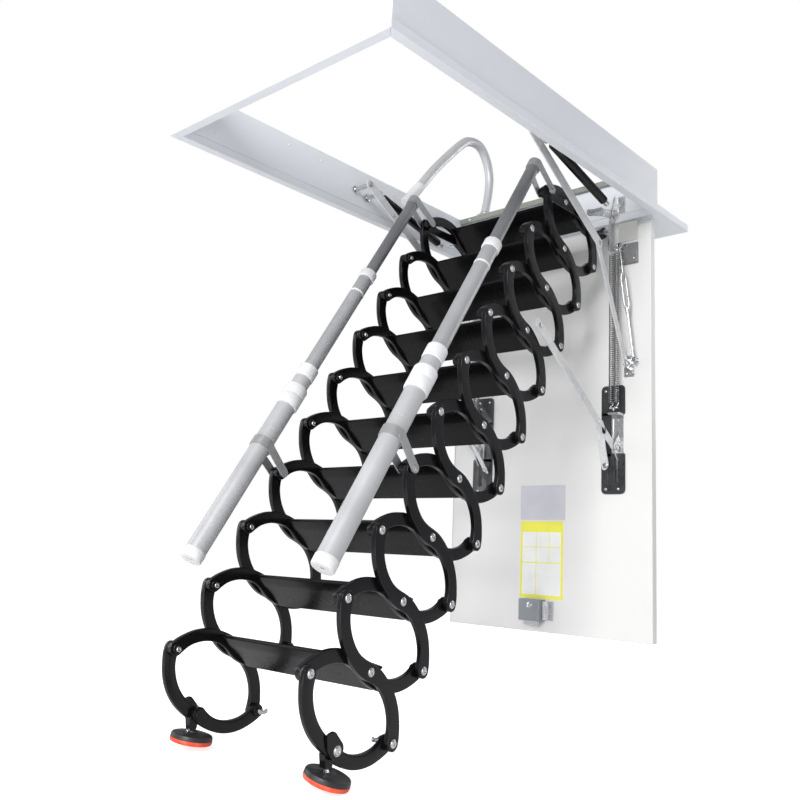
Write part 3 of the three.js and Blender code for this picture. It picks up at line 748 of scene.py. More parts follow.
def ring_tube(shape, steps, bore):
    """A hollow turned tube: outer steps are [radius, height]; the bore runs right through."""
    profile = [(bore, steps[0][1])] + list(steps) + [(bore, steps[-1][1])]
    base = rail_point(0)
    shape.lathe(profile, base, RAIL_UP, 40, wrap=True)


def strip(shape, path, across, half_width, thickness):
    """A bent flat bar along a path; its width lies along one direction, and its ends are round."""
    points = [Vector(p) for p in path]
    wide = Vector(across).normalized()
    rings = []

    def ring(p, ahead, half):
        normal = ahead.cross(wide).normalized() * thickness / 2
        c = min(0.6, half / 2)
        corners = [(half - c, 1), (half, 0.4), (half, -0.4), (half - c, -1),
                   (c - half, -1), (-half, -0.4), (-half, 0.4), (c - half, 1)]
        return [p + wide * a + normal * b for a, b in corners]

    for k, p in enumerate(points):
        ahead = points[min(k + 1, len(points) - 1)] - points[max(k - 1, 0)]
        ahead.normalize()
        if k == 0:
            for a in (1.35, 1.0, 0.6, 0.3):
                rings.append(ring(p - ahead * half_width * math.sin(a), ahead, half_width * math.cos(a)))
        rings.append(ring(p, ahead, half_width))
        if k == len(points) - 1:
            for a in (0.3, 0.6, 1.0, 1.35):
                rings.append(ring(p + ahead * half_width * math.sin(a), ahead, half_width * math.cos(a)))
    shape.loops(rings)


def clamp(height, pivot, tube, name, body):
    """Sheet strap round the tube with cheeks to the pivot bolt."""
    band, bolt = Shape(), Shape()
    ring_tube(band, [(tube + 0.2, height - 12), (tube + 2.8, height - 11.5), (tube + 2.8, height + 11.5),
                     (tube + 0.2, height + 12)], tube - 0.4)
    y, z = pivot
    centre = rail_point(height)
    foot = Vector((0, y, z))
    run = (foot - Vector((0, centre.y, centre.z)))
    wide = Vector(OUTWARD).cross(run.normalized())
    for sign, x_end in ((1, BOLT_FACE + 2.6), (-1, INNER_X[0] - 9.5)):
        x_start = centre.x + sign * (tube + 1.2)
        path = []
        for k in range(9):
            t = k / 8
            ease = t * t * (3 - 2 * t)
            p = Vector((x_start + (x_end - x_start) * ease, centre.y, centre.z)) + run * (0.06 + 0.94 * t)
            path.append(p)
        strip(band, path, wide, 11.0, 3.2)
    hex_bolt(bolt, (BOLT_FACE + 3.6, y, z), OUTWARD, 6.2, 3.6)
    both(band).make(f"{name}_clamp", body, ZINC_CLAMP, "zinc_plate")
    make_steel(bolt, f"{name}_clamp_bolts", body)


def lower_rail():
    tube, fittings, screw = Shape(), Shape(), Shape()
    ring_tube(tube, [(24, RAIL_FOOT + 10), (24, 58), (23.5, 58.6), (23.5, 61.4), (24, 62),
                     (24, COLLAR_FROM + 2)], 21.2)
    ring_tube(tube, [(22.4, COLLAR_TO - 4), (22.4, NECK_TO - 30)], 21.2)
    ring_tube(fittings, [(24.4, COLLAR_FROM - 1), (27.2, COLLAR_FROM), (28, COLLAR_FROM + 2.5),
                         (28, COLLAR_FROM + 30), (27.5, COLLAR_FROM + 31), (27.5, COLLAR_FROM + 33),
                         (28, COLLAR_FROM + 34), (28, COLLAR_TO - 6), (26.5, COLLAR_TO - 2),
                         (22.6, COLLAR_TO)], 21.3)
    ring_tube(fittings, [(22.7, NECK_TO - 36), (24.4, NECK_TO - 34.5), (24.5, NECK_TO - 2),
                         (23.6, NECK_TO)], 21.3)
    base = rail_point(0)
    cap = [(0, RAIL_FOOT + 3), (4.5, RAIL_FOOT + 3), (5.5, RAIL_FOOT + 1.4), (19, RAIL_FOOT),
           (23.4, RAIL_FOOT + 1.2), (25, RAIL_FOOT + 4), (25.4, RAIL_FOOT + 22), (24.2, RAIL_FOOT + 24),
           (0, RAIL_FOOT + 24)]
    fittings.lathe(cap, base, RAIL_UP, 40)
    pan_screw(screw, rail_point(RAIL_FOOT + 3.2), -RAIL_UP, 4.2)
    both(tube).make("rail_lower_tubes", "rail_lower", PALE_TUBE, "pale_tube",
                    pair("rail_lower"))
    both(fittings).make("rail_lower_fittings", "rail_lower", COLLAR, "pale_tube")
    make_steel(screw, "rail_cap_screws", "rail_lower")
    clamp(22, front_pivot(CLAMP_UNIT), 24, "rail_lower", "rail_lower")


def middle_rail():
    tube, fittings = Shape(), Shape()
    ring_tube(tube, [(19.5, MIDDLE_FROM), (19.5, MIDDLE_TO - 22)], 17.2)
    ring_tube(fittings, [(19.6, 543), (20.5, 544), (20.5, 548), (19.6, 549)], 19.0)
    ring_tube(fittings, [(19.8, MIDDLE_TO - 27.3), (22.2, MIDDLE_TO - 26), (22.5, MIDDLE_TO - 24),
                         (22.5, MIDDLE_TO - 3), (21.4, MIDDLE_TO - 0.8), (17.6, MIDDLE_TO)], 16.6)
    both(tube).make("rail_middle_tubes", "rail_middle", MID_TUBE, "silver_tube",
                    pair("rail_middle"))
    both(fittings).make("rail_middle_collars", "rail_middle", COLLAR, "silver_tube")


def upper_rail():
    tube, crown = Shape(), Shape()
    ring_tube(tube, [(16, UPPER_FROM), (16, RAIL_TOP + 9)], 13.6)
    base = rail_point(0)
    crown.lathe([(0, RAIL_TOP - 6), (13, RAIL_TOP - 6), (15.5, RAIL_TOP + 8), (16.6, RAIL_TOP + 8.4),
                 (16.6, RAIL_TOP + 13), (14.5, RAIL_TOP + 17.5), (9, RAIL_TOP + 19.6), (0, RAIL_TOP + 20)],
                base, RAIL_UP, 36)
    both(tube).make("rail_upper_tubes", "rail_upper", GREY_TUBE, "grey_tube",
                    pair("rail_upper"))
    both(crown).make("rail_upper_crowns", "rail_upper", COLLAR, "grey_tube")
    clamp(RAIL_TOP + 7, front_pivot(UNITS - 1), 16, "rail_upper", "rail_upper")


def smooth_path(points, per_span=12):
    """A rounded path through points (Catmull-Rom)."""
    p = [Vector(q) for q in points]
    p = [p[0] * 2 - p[1]] + p + [p[-1] * 2 - p[-2]]
    path = []
    for k in range(1, len(p) - 2):
        for s in range(per_span):
            t = s / per_span
            a, b, c, d = p[k - 1], p[k], p[k + 1], p[k + 2]
            path.append(0.5 * (2 * b + (c - a) * t + (2 * a - 5 * b + 4 * c - d) * t ** 2
                               + (3 * b - a - 3 * c + d) * t ** 3))
    path.append(p[-2])
    return path


def grab_rail():
    """The fixed bent rail beside the top of the ladder, with its foam-like thick first run."""
    stops = [(-GRAB_X, y, z) for y, z in GRAB_PATH]
    tube, sleeve, foot = Shape(), Shape(), Shape()
    tube.sweep(smooth_path(stops), GRAB_R, 28)
    start, ahead = Vector(stops[0]), (Vector(stops[1]) - Vector(stops[0])).normalized()
    sleeve.lathe([(9, -0.5), (13.6, -0.5), (15.8, 1.5), (15.8, 90), (15.5, 92), (15.5, 94), (15.0, 97),
                  (13.6, 98)], start, ahead, 32)
    end = stops[-1]
    foot.box(-GRAB_X - 21, -GRAB_X + 21, OPEN_REAR - 10, OPEN_REAR + LINING_T - 1, LINING_TOP + 0.4,
             LINING_TOP + 4)
    foot.lathe([(18.5, LINING_TOP + 3.5), (18.5, LINING_TOP + 6), (15.2, LINING_TOP + 10)],
               (end[0], end[1], 0), (0, 0, 1), 28)
    tube.make("grab_rail_tube", "frame", GRAB_TUBE, "pale_tube", ["grab_rail"])
    sleeve.make("grab_rail_sleeve", "frame", COLLAR, "pale_tube")
    foot.make("grab_rail_foot", "frame", ZINC, "zinc_plate", bevel=0.8)


# ---- feet ----
FOOT_LEAN = {"right": (0.24, 0.16), "left": (-0.08, 0.12)}


def foot_links():
    front, rear, bolts, wings = Shape(), Shape(), Shape(), Shape()
    link_body(front, bowed_arc(front_pivot(0), BOTTOM, cell_centre(0)), half_width, *OUTER_X)
    link_body(rear, bowed_arc(BOTTOM, rear_pivot(0), cell_centre(0)), half_width, *INNER_X)
    for at in (front_pivot(0), BOTTOM):
        boss(front, at, OUTER_X[1] - 1.5, OUTER_X[1] + 0.1, 12.8)
    for at in (BOTTOM, rear_pivot(0)):
        boss(rear, at, INNER_X[0] + 1, INNER_X[0] - 4, 12.8)
    ear = rounded(about(BOTTOM, [(-27, 30), (-8, 36), (17, 8), (14, -15), (-10, -18),
                   (-24, 2)]), 7, 4)
    front.plate(ear, OUTER_X[1] - 0.5, OUTER_X[1] + 4.8)
    lug = rounded(about(BOTTOM, [(-22, -2), (3, -2), (-2, -31), (-18, -31)]), 5, 4)
    front.plate(lug, FOOT_X - 8, FOOT_X + 8)
    button_bolt(bolts, OUTER_X[1] - 0.1, front_pivot(0), 7.4)
    button_bolt(bolts, OUTER_X[1] + 4.7, BOTTOM, 8.4)
    hub = rear_pivot(0)
    wings.rod((INNER_X[0] + 0.4, *hub), (INNER_X[0] - 14, *hub), 5.6)
    wing = rounded(about(hub, [(-13, -2), (-12, 8), (-3, 3), (3, 3), (12, 8),
                    (13, -2), (4, -4), (-4, -4)]), 2.5, 3)
    wings.plate(wing, INNER_X[0] - 21, INNER_X[0] - 17.5)
    wings.rod((INNER_X[0] - 13, *hub), (INNER_X[0] - 21.5, *hub), 4.2)
    make_sides(front, "foot_front", "foot_front", "foot_front_link", bevel=0.5)
    make_sides(rear, "foot_rear", "foot_rear", "foot_rear_link")
    make_steel(bolts, "foot_bolts", "foot_front")
    make_steel(wings, "foot_wing_bolts", "foot_rear", bevel=0.4)


def foot_pad(side):
    """Red rubber sole in a black cup, on a short swivel stem."""
    sign = 1 if side == "right" else -1
    sideways, back = FOOT_LEAN[side]
    up = Vector((sign * sideways, back, 1)).normalized()
    at = Vector((sign * FOOT_X, BOTTOM[0] + FOOT_DROP[0], BOTTOM[1] + FOOT_DROP[1]))
    sole, cup, nut = Shape(), Shape(), Shape()
    sole.lathe([(0, 0.6), (12, 0.6), (13, 0), (26, 0), (27, 0.8), (36, 0.8), (37, 0), (41, 0), (43.4, 1),
                (44.4, 3.0), (45, 7), (44.4, 9.0), (30, 9.4)], at, up, 56)
    cup.lathe([(30, 8.6), (44, 8.6), (44.6, 9.4), (44, 15), (42.6, 17.8), (39, 19.2), (24, 19.8), (15, 20.4),
               (12, 22), (11, 24.5), (8.6, 26), (0, 26.6)], at, up, 56)
    for k in range(6):
        a = math.pi * k / 3
        radial = Vector((math.cos(a), math.sin(a), 0))
        radial = (radial - up * radial.dot(up)).normalized()
        cup.rod(at + radial * 14 + up * 19.9, at + radial * 38 + up * 18.4, 1.6, 8, 0.5)
    hex_bolt(nut, at + up * 25.0 + Vector((sign * 2, -9, -2)), FORWARD, 4.6, 5)
    sole.make(f"foot_sole_{side}", f"pad_{side}", RUBBER, "red_rubber", [f"foot_pad_{side}"])
    cup.make(f"foot_cup_{side}", f"pad_{side}", PLASTIC, "red_rubber")
    nut.make(f"foot_nut_{side}", f"pad_{side}", STEEL, "bright_steel")


# ---- ceiling frame ----
def trim():
    """Four mitred trim boards round the opening."""
    outer = [(-FRAME_X, -FRAME_Y), (FRAME_X, -FRAME_Y), (FRAME_X, FRAME_Y), (-FRAME_X, FRAME_Y)]
    inner = [(-OPEN_X, OPEN_FRONT), (OPEN_X, OPEN_FRONT), (OPEN_X, OPEN_REAR), (-OPEN_X, OPEN_REAR)]
    names = ["front", "right", "hinge_side", "left"]
    for k, name in enumerate(names):
        a, b = outer[k], outer[(k + 1) % 4]
        c, d = inner[(k + 1) % 4], inner[k]
        corners = [a, b, c, d]
        centre = ((a[0] + b[0] + c[0] + d[0]) / 4, (a[1] + b[1] + c[1] + d[1]) / 4)
        corners = [add(centre, sub(p, centre), 0.99985) for p in corners]
        board = Shape().slab(corners, 0, FLANGE_T)
        board.make(f"trim_{name}", "frame", WHITE, "white_frame", ["trim_flange"] if k == 0 else (),
                   bevel=1.6, segments=3)


def lining():
    """Four lining boards with corner plates and a metal channel on the hinge side."""
    low, high = FLANGE_T + 0.4, LINING_TOP - 0.2
    x, t = OPEN_X, LINING_T
    boards = {
        "right": (x, x + t, OPEN_FRONT - t, OPEN_REAR + t),
        "left": (-x - t, -x, OPEN_FRONT - t, OPEN_REAR + t),
        "front": (-x + 0.3, x - 0.3, OPEN_FRONT - t, OPEN_FRONT),
        "rear": (-x + 0.3, x - 0.3, OPEN_REAR, OPEN_REAR + t),
    }
    for name, (x0, x1, y0, y1) in boards.items():
        board = Shape().box(x0, x1, y0, y1, low, high)
        board.make(f"lining_{name}", "frame", WHITE, "white_frame", ["lining_box"] if name == "right" else (),
                   bevel=1.0)
    channel, screws = Shape(), Shape()
    y, z = OPEN_REAR, LINING_TOP
    profile = about((y, z), [(-12, -17), (-10.4, -17), (-10.4, -2.2), (t, -2.2), (t, -0.4), (-12, -0.4)])
    channel.plate(rounded(profile, 0.8, 2), -x + 1, x - 1)
    channel.box(-x + 1, x - 1, y - 11, y - 0.2, z - 17, z - 15.4)
    channel.make("hinge_side_channel", "frame", CHANNEL_GREY, "zinc_plate")
    for sx in (-300, -150, 0, 150, 300):
        pan_screw(screws, (sx, y - 12, z - 9), FORWARD, 4)
    for sy in (-540, -300, -180, 120, 330):
        for sz in (48, 108):
            pan_screw(screws, (x, sy, sz), INWARD, 2.6)
            pan_screw(screws, (-x, sy, sz), OUTWARD, 2.6)
    for sx in (-260, 0, 260):
        pan_screw(screws, (sx, OPEN_FRONT, 78), (0, 1, 0), 3.6)
    screws.make("lining_screws", "frame", WHITE, "white_frame")
    corners = Shape()
    for sx in (-1, 1):
        for y0, y1 in ((OPEN_FRONT, OPEN_FRONT + 34), (OPEN_REAR - 36, OPEN_REAR - 2)):
            x0, x1 = sorted((sx * (x - 1.8), sx * (x - 0.1)))
            corners.box(x0, x1, y0, y1, 34, 96)
    corners.make("corner_plates", "frame", DULL_ZINC, "zinc_plate", bevel=0.5)


def side_brackets():
    """Studs on the side lining that carry the elbow arms and struts."""
    studs = Shape()
    for at, x in ((ARM_FRAME, ARM_X + 5), (STRUT_FRAME, STRUT_X - 8)):
        studs.rod((x, *at), (OPEN_X - 2, *at), 6.4)
        studs.lathe([(11, 0), (11, 2), (7, 3)], (OPEN_X - 3.8, *at), INWARD, 24)
        hex_bolt(studs, (x + 1, *at), INWARD, 6.6, 4)
    make_steel(studs, "side_bracket_studs", "frame")


def lever_bearings():
    """Bearing cheeks of the ladder levers on the rear lining."""
    y, z = LEVER_PIVOT
    cheek, studs = Shape(), Shape()
    back, top = OPEN_REAR - 1, 74
    outline = [(y - 12, z - 4), (y - 8, z - 10), (y + 9, z - 10), (back, z), (back, top), (y + 2, top),
               (y - 12, z + 12)]
    cheek.plate(rounded(outline, 4, 4), LEVER_X[1] + 0.5, LEVER_X[1] + 4.5)
    cheek.box(LEVER_X[1] + 0.5, LEVER_X[1] + 30, OPEN_REAR - 4, OPEN_REAR - 0.4, 26, top)
    hex_bolt(studs, (LEVER_X[1] + 4.4, y, z), OUTWARD, 7, 4.5)
    for sx, sz in ((244, 38), (244, 62), (254, 50)):
        hex_bolt(studs, (sx, OPEN_REAR - 4, sz), FORWARD, 4.4, 3)
    both(cheek).make("lever_bearing_cheeks", "frame", ZINC, "zinc_plate", bevel=0.5)
    make_steel(studs, "lever_bearing_bolts", "frame")


# ---- trapdoor ----
def door_arc():
    """Side profile of the panel's top edge, rounded about the hinge line."""
    y, z = DOOR_HINGE
    reach = -z - 0.6
    a0 = math.pi - math.asin((DOOR_TOP - z) / reach)
    a1 = math.acos((DOOR_FRONT - y) / reach)
    turns = [a0 + (a1 - a0) * k / 10 for k in range(11)]
    return [(y + reach * math.cos(a), z + reach * math.sin(a)) for a in turns]


def door():
    """Sheet panel with a folded rim; the hollow back has two stiffeners."""
    x, t = DOOR_X, 5.6
    skin = Shape().box(-x, x, DOOR_FRONT, DOOR_FRONT + t, DOOR_BOTTOM, DOOR_FOLD)
    skin.plate([(DOOR_FRONT, DOOR_FOLD), (DOOR_BACK, DOOR_FOLD), (DOOR_BACK, DOOR_TOP), *door_arc()], -x, x)
    skin.make("door_skin", "door", DOOR_PAINT, "white_door", ["door_panel"], bevel=1.6, segments=3)
    rim = Shape()
    y0, y1 = DOOR_FRONT + t - 0.4, DOOR_BACK
    for x0, x1 in ((-x, -x + 22), (x - 22, x)):
        rim.box(x0, x1, y0, y1, DOOR_BOTTOM, DOOR_FOLD)
    rim.box(-x + 22, x - 22, y0, y1, DOOR_BOTTOM, DOOR_BOTTOM + 22)
    rim.make("door_rim", "door", DOOR_PAINT, "white_door", bevel=1.4)
    ribs, rivets = Shape(), Shape()
    for sx in (-118, 118):
        hat = about((sx, y0), [(-30, 0), (-30, 1.6), (-16, 1.8), (-12, 13), (12, 13), (16, 1.8), (30, 1.6),
                               (30, 0)])
        ribs.slab(hat, DOOR_BOTTOM + 26, DOOR_FOLD - 4)
        for k in range(8):
            for dx in (-23, 23):
                pan_screw(rivets, (sx + dx, y0 + 1.6, DOOR_BOTTOM + 80 + 140 * k), (0, 1, 0), 3)
    ribs.make("door_stiffeners", "door", DOOR_PAINT, "white_door", bevel=0.6)
    rivets.make("door_rivets", "door", STEEL, "bright_steel")


def door_hinges():
    """Leaves and knuckles behind the door's top edge."""
    y, z = DOOR_HINGE
    leaf, fixed = Shape(), Shape()
    leaf.box(HINGE_X - 22, HINGE_X + 22, DOOR_BACK - 0.4, DOOR_BACK + 2.8, z - 60, z + 4)
    for x0, x1 in ((HINGE_X - 22, HINGE_X - 10.4), (HINGE_X + 10.4, HINGE_X + 22)):
        leaf.rod((x0, y, z), (x1, y, z), 5.4)
        leaf.box(x0, x1, DOOR_BACK + 1, y - 2, z - 1.6, z + 1.6)
    fixed.rod((HINGE_X - 10, y, z), (HINGE_X + 10, y, z), 5.4)
    fixed.box(HINGE_X - 9.8, HINGE_X + 9.8, y + 2, y + 18, z - 4.8, z - 0.4)
    for y0, y1, z0, z1 in ((16, 51, z - 4.8, z - 0.4), (46.2, 51, z - 1, -0.5), (46.2, 86, -3.4, -0.4)):
        fixed.box(HINGE_X - 24, HINGE_X + 24, y + y0, y + y1, z0, z1)
    both(leaf).make("hinge_leaves", "door", ZINC, "zinc_plate", bevel=0.5)
    both(fixed).make("hinge_brackets", "frame", ZINC, "zinc_plate", bevel=0.5)


TRACK_X, TRACK_Z = (188, 260), (-787, -483)
FACE = DOOR_FRONT + 0.4


def pressed_plate(shape, x0, x1, z0, z1, radius, depth=3.6):
    """A sheet plate on the door face with round corners."""
    outline = rounded([(x0, z0), (x1, z0), (x1, z1), (x0, z1)], radius, 6)
    shape.upright(outline, FACE, FACE - depth)


def door_screw(shape, x, z, radius=4.2, depth=3.6):
    pan_screw(shape, (x, FACE - depth, z), FORWARD, radius)


def bead(shape, x, z0, z1, radius, depth):
    """A pressed half-round rib standing on a plate."""
    flat = 0.45     # height of the rib over its half width
    rings = []
    for z, k in ((z0, 0.05), (z0 + radius * 0.5, 0.8), (z0 + radius, 1), (z1 - radius, 1),
                 (z1 - radius * 0.5, 0.8), (z1, 0.05)):
        rings.append([(x + radius * k * math.cos(a), FACE - depth + 0.3 - radius * flat * k * math.sin(a), z)
                      for a in [math.pi * j / 10 for j in range(11)]])
    shape.loops(rings)


def ear_plate(shape, at, tip, root, radius, x0, x1):
    """An upright ear on the door face, narrow at its pivot and wide at its root."""
    y, z = at
    outline = [(y - 9, z - tip), (FACE - 1, z - root), (FACE - 1, z + root), (y - 9, z + tip)]
    shape.plate(rounded(outline, [7, radius, radius, 7], 4), x0, x1)


def door_tracks():
    """Black plates that carry springs and stay arms, joined by a zinc strip."""
    black, strip_plate, screws, ear = Shape(), Shape(), Shape(), Shape()
    x0, x1 = TRACK_X
    z0, z1 = TRACK_Z
    pressed_plate(black, x0, x1, z0, z0 + 112, [14, 14, 6, 6])
    pressed_plate(black, x0, x1, z1 - 84, z1, [6, 6, 14, 14])
    pressed_plate(black, x0, x0 + 30, z0 + 104, z1 - 78, 1)
    bead(black, x0 + 45, z0 + 26, z0 + 98, 8, 3.6)
    bead(black, x0 + 17, z0 + 26, z0 + 98, 3.4, 3.6)
    bead(black, x0 + 50, z1 - 74, z1 - 30, 7, 3.6)
    pressed_plate(strip_plate, x0 + 31, x1 - 5, z0 + 110, z1 - 82, 2, 2.8)
    bead(strip_plate, x0 + 36, z0 + 114, z1 - 90, 3, 2.8)
    for x, z in ((x0 + 52, z0 + 14), (x0 + 50, z1 - 14), (x0 + 45, z1 - 34), (x0 + 14, z1 - 14),
                 (x0 + 14, z0 + 14)):
        door_screw(screws, x, z, 4)
    for x, z in ((x0 + 50, z0 + 124), (x0 + 50, z1 - 98)):
        door_screw(screws, x, z, 4, 2.8)
    ear_plate(ear, STAY_DOOR, 12, 40, 2, STAY_X[1] + 0.6, STAY_X[1] + 4.4)
    hex_bolt(screws, (STAY_X[1] + 4.3, *STAY_DOOR), OUTWARD, 6.2, 4.2)
    y, z = SPRING_ANCHOR
    shelf = [(y - 4, z - 10), (FACE - 0.5, z - 10), (FACE - 0.5, z - 4), (y - 4, z - 4)]
    ear.plate(rounded(shelf, 1, 2), SPRING_X - 16, SPRING_X + 16)
    both(black).make("track_plates", "door", PLASTIC_SHEET, "white_door", bevel=0.6)
    both(strip_plate).make("track_strips", "door", ZINC, "white_door", bevel=0.4)
    both(ear).make("stay_ears", "door", ZINC, "white_door", bevel=0.5)
    make_steel(screws, "track_screws", "door")


def arm_brackets():
    """Angle brackets of the elbow arms with the lower eyes of the tension rods."""
    plates, screws = Shape(), Shape()
    y, z = ARM_DOOR
    pressed_plate(plates, ARM_X - 16, ARM_X + 16, z - 34, z + 26, 3, 2.6)
    ear_plate(plates, ARM_DOOR, 11, 16, 1, ARM_X + 0.2, ARM_X + 3.6)
    for dx, dz in ((2, -8), (10, -23), (-9, -24), (-9, 14)):
        door_screw(screws, ARM_X + dx, z + dz, 3.8, 2.6)
    hex_bolt(screws, (ARM_X + 3.6, y, z), OUTWARD, 5.6, 3.6)
    both(plates).make("arm_brackets", "door", ZINC, "white_door", bevel=0.4)
    make_steel(screws, "arm_bracket_screws", "door")


HINGE_PAD, HINGE_COVER = (240, 300, -66, -8), (243, 301, -136, -73)


def hinge_plates():
    """Plates at the top of the door face: a pale block with a bolted zinc cover under it."""
    pale, cover, bolts = Shape(), Shape(), Shape()
    pressed_plate(pale, *HINGE_PAD, 2.5, 3.2)
    pressed_plate(cover, *HINGE_COVER, 3, 3)
    outline = rounded([(248, -74), (262, -76), (298, -98), (298, -132), (262, -134), (248, -118)], 4, 3)
    cover.upright(outline, FACE - 2.5, FACE - 5.5)
    for x, z in ((264, -80), (256, -92)):
        hex_bolt(bolts, (x, FACE - 4, z), FORWARD, 5, 4)
    for x, z in ((288, -120), (256, -122)):
        door_screw(bolts, x, z, 3.6, 5.2)
    both(pale).make("hinge_pads", "door", PALE_SHEET, "white_door", bevel=0.6)
    both(cover).make("hinge_covers", "door", DULL_ZINC, "white_door", bevel=0.5)
    make_steel(bolts, "hinge_plate_bolts", "door")


TENSION_TOP, TENSION_LOW = (254, 441, -88), (296, 441, -412)


def tension_rods():
    """Slim adjusting rods with an open turnbuckle, between hinge plate and arm bracket."""
    rods, barrel = Shape(), Shape()
    top, low = Vector(TENSION_TOP), Vector(TENSION_LOW)
    ahead = (low - top).normalized()
    length = (low - top).length
    a, b = 0.22 * length, 0.59 * length
    rods.rod(top, top + ahead * (a + 12), 3.3, 16)
    rods.rod(top + ahead * (b - 12), low, 3.3, 16)
    wide = ahead.cross(Vector(FORWARD)).normalized()
    for sign in (-1, 1):
        path = []
        for k in range(21):
            t = k / 20
            spread = 7.0 * min(1.0, math.sin(math.pi * t) * 2.4)
            path.append(top + ahead * (a + (b - a) * t) + wide * sign * spread)
        barrel.sweep(path, 3.0, 12)
    for share in (a, b):
        barrel.lathe([(3.2, -6), (6.2, -5), (6.2, 5), (3.2, 6)], top + ahead * share, ahead, 20)
    for at, turn in ((top, 1), (low, -1)):
        eye = []
        for k in range(25):
            angle = 2 * math.pi * k / 24
            eye.append(at - ahead * 6 * turn + ahead * 6.5 * math.cos(angle) + wide * 6.5 * math.sin(angle))
        barrel.sweep(eye, 2.0, 10)
        hex_bolt(barrel, tuple(at - ahead * 6 * turn + Vector((0, 22, 0))), FORWARD, 4.4, 26)
    make_steel(rods, "tension_rods", "door")
    make_steel(barrel, "turnbuckles", "door")


def sheet_label(name, x0, x1, z0, z1, material, depth):
    outline = rounded([(x0, z0), (x1, z0), (x1, z1), (x0, z1)], 2.0, 3)
    label = Shape().upright(outline, DOOR_FRONT + 0.2, DOOR_FRONT - depth)
    label.make(name, "door", material, "white_door")


def labels():
    """Two plain stickers: a grey one, and a yellow one with blank white panels."""
    sheet_label("rating_label", -80, 72, -860, -759, GREY_LABEL, 0.35)
    sheet_label("guide_label", -78, 66, -1084, -864, YELLOW_LABEL, 0.35)
    x_edges = [(-71, -25), (-23, 19), (21, 59)]
    rows = [(-937, -895), (-981, -939)]
    for r, (z0, z1) in enumerate(rows):
        for c, (x0, x1) in enumerate(x_edges):
            sheet_label(f"guide_panel_{r}_{c}", x0, x1, z0, z1, PAPER, 0.6)
    sheet_label("guide_panel_low", -71, -25, -1074, -984, PAPER, 0.6)
    sheet_label("guide_panel_wide", -23, 59, -1074, -984, PAPER, 0.6)


def latch():
    """Grey slam latch with its plated striker flange and sprung bolt."""
    case, flange, screws, bolt = Shape(), Shape(), Shape(), Shape()
    x0, x1, z0, z1 = LATCH_CASE
    face = DOOR_FRONT - 0.3
    t = 4
    top = face - 34
    shell = [(x0, face), (x0, top), (x1, top), (x1, face), (x1 - t, face), (x1 - t, top + t),
             (x0 + t, top + t), (x0 + t, face)]
    case.slab(rounded(shell, [1, 3, 3, 1, 0, 1, 1, 0], 3), z0, z1)
    case.box(x0 + 2, x1 - 2, face - 32, face - 1, z1 - 4.5, z1 - 0.2)
    flange.box(x1 + 1, x1 + 27, face - 3.4, face, z0 + 3, z1 - 5)
    flange.box(x1 + 0.6, x1 + 3.4, face - 18, face, z0 + 3, z1 - 5)
    for dz in (14, 42):
        pan_screw(screws, (x1 + 18, face - 3.4, z0 + dz), FORWARD, 3.4)
    screws.lathe([(9, 0), (9, 0.8), (7.4, 1.4), (6.6, 0.9), (6.2, 2.6), (4.6, 3.4), (2, 3.6), (1.6, 1.6),
                  (0, 1.6)], (x0 + 38, top, z0 + 43), FORWARD, 32)
    low = z0 - 12
    y0, y1 = face - 25.5, face - 8.5
    nose = [(y0, low + 10), (y0 + 6, low), (y1, low), (y1, z0 + 39), (y0, z0 + 39)]
    bolt.plate(rounded(nose, [2, 2, 1, 1, 1], 3), x0 + 12.6, x1 - 12.6)
    case.make("latch_shell", "door", LATCH_GREY, "latch_metal", ["latch_case"], bevel=0.7)
    flange.make("latch_flange", "door", ZINC, "zinc_plate", bevel=0.5)
    screws.make("latch_screws", "door", STEEL, "bright_steel")
    bolt.make("latch_tongue", "latch_bolt", STEEL, "bright_steel", ["latch_bolt"], bevel=0.4)


# ---- arms, struts, springs ----
def flat_bar(shape, a, b, x0, x1, half):
    """A flat bar with round ends between two points of the side plane."""
    steps = 10
    along = unit(sub(b, a))
    side = (-along[1], along[0])
    outline = []
    for k in range(steps + 1):
        t = math.pi * k / steps
        outline.append(add(add(b, side, -half * math.cos(t)), along, half * math.sin(t)))
    for k in range(steps + 1):
        t = math.pi * k / steps
        outline.append(add(add(a, side, half * math.cos(t)), along, -half * math.sin(t)))
    shape.plate(outline, x0, x1)


RIVET_HEAD = [(7, 0), (7, 2.4), (5.4, 3.6), (0, 4)]


def elbow_arms():
    upper, lower, upper_pins, lower_pins = Shape(), Shape(), Shape(), Shape()
    flat_bar(upper, ARM_FRAME, ARM_ELBOW, ARM_X + 0.2, ARM_X + 3.8, 14)
    hex_bolt(upper_pins, (ARM_X + 0.2, *ARM_FRAME), INWARD, 6.4, 4)
    run = sub(ARM_ELBOW, ARM_FRAME)
    pan_screw(upper_pins, (ARM_X + 0.3, *add(ARM_FRAME, run, 0.315)), INWARD, 4)
    upper_pins.lathe(RIVET_HEAD, (ARM_X + 3.6, *ARM_ELBOW), OUTWARD, 24)
    flat_bar(lower, ARM_ELBOW, ARM_DOOR, ARM_X - 4.1, ARM_X - 0.5, 10)
    lower_pins.lathe(RIVET_HEAD, (ARM_X - 4, *ARM_ELBOW), INWARD, 24)
    hex_bolt(lower_pins, (ARM_X - 4.1, *ARM_DOOR), INWARD, 5.4, 3.6)
    for name, shape, body in (("upper_arm", upper, "upper_arms"), ("lower_arm", lower, "lower_arms")):
        both(shape).make(f"{name}_bars", body, ARM_ZINC, "zinc_plate", pair(name), bevel=0.5)
    make_steel(upper_pins, "upper_arm_pins", "upper_arms")
    make_steel(lower_pins, "lower_arm_pins", "lower_arms")


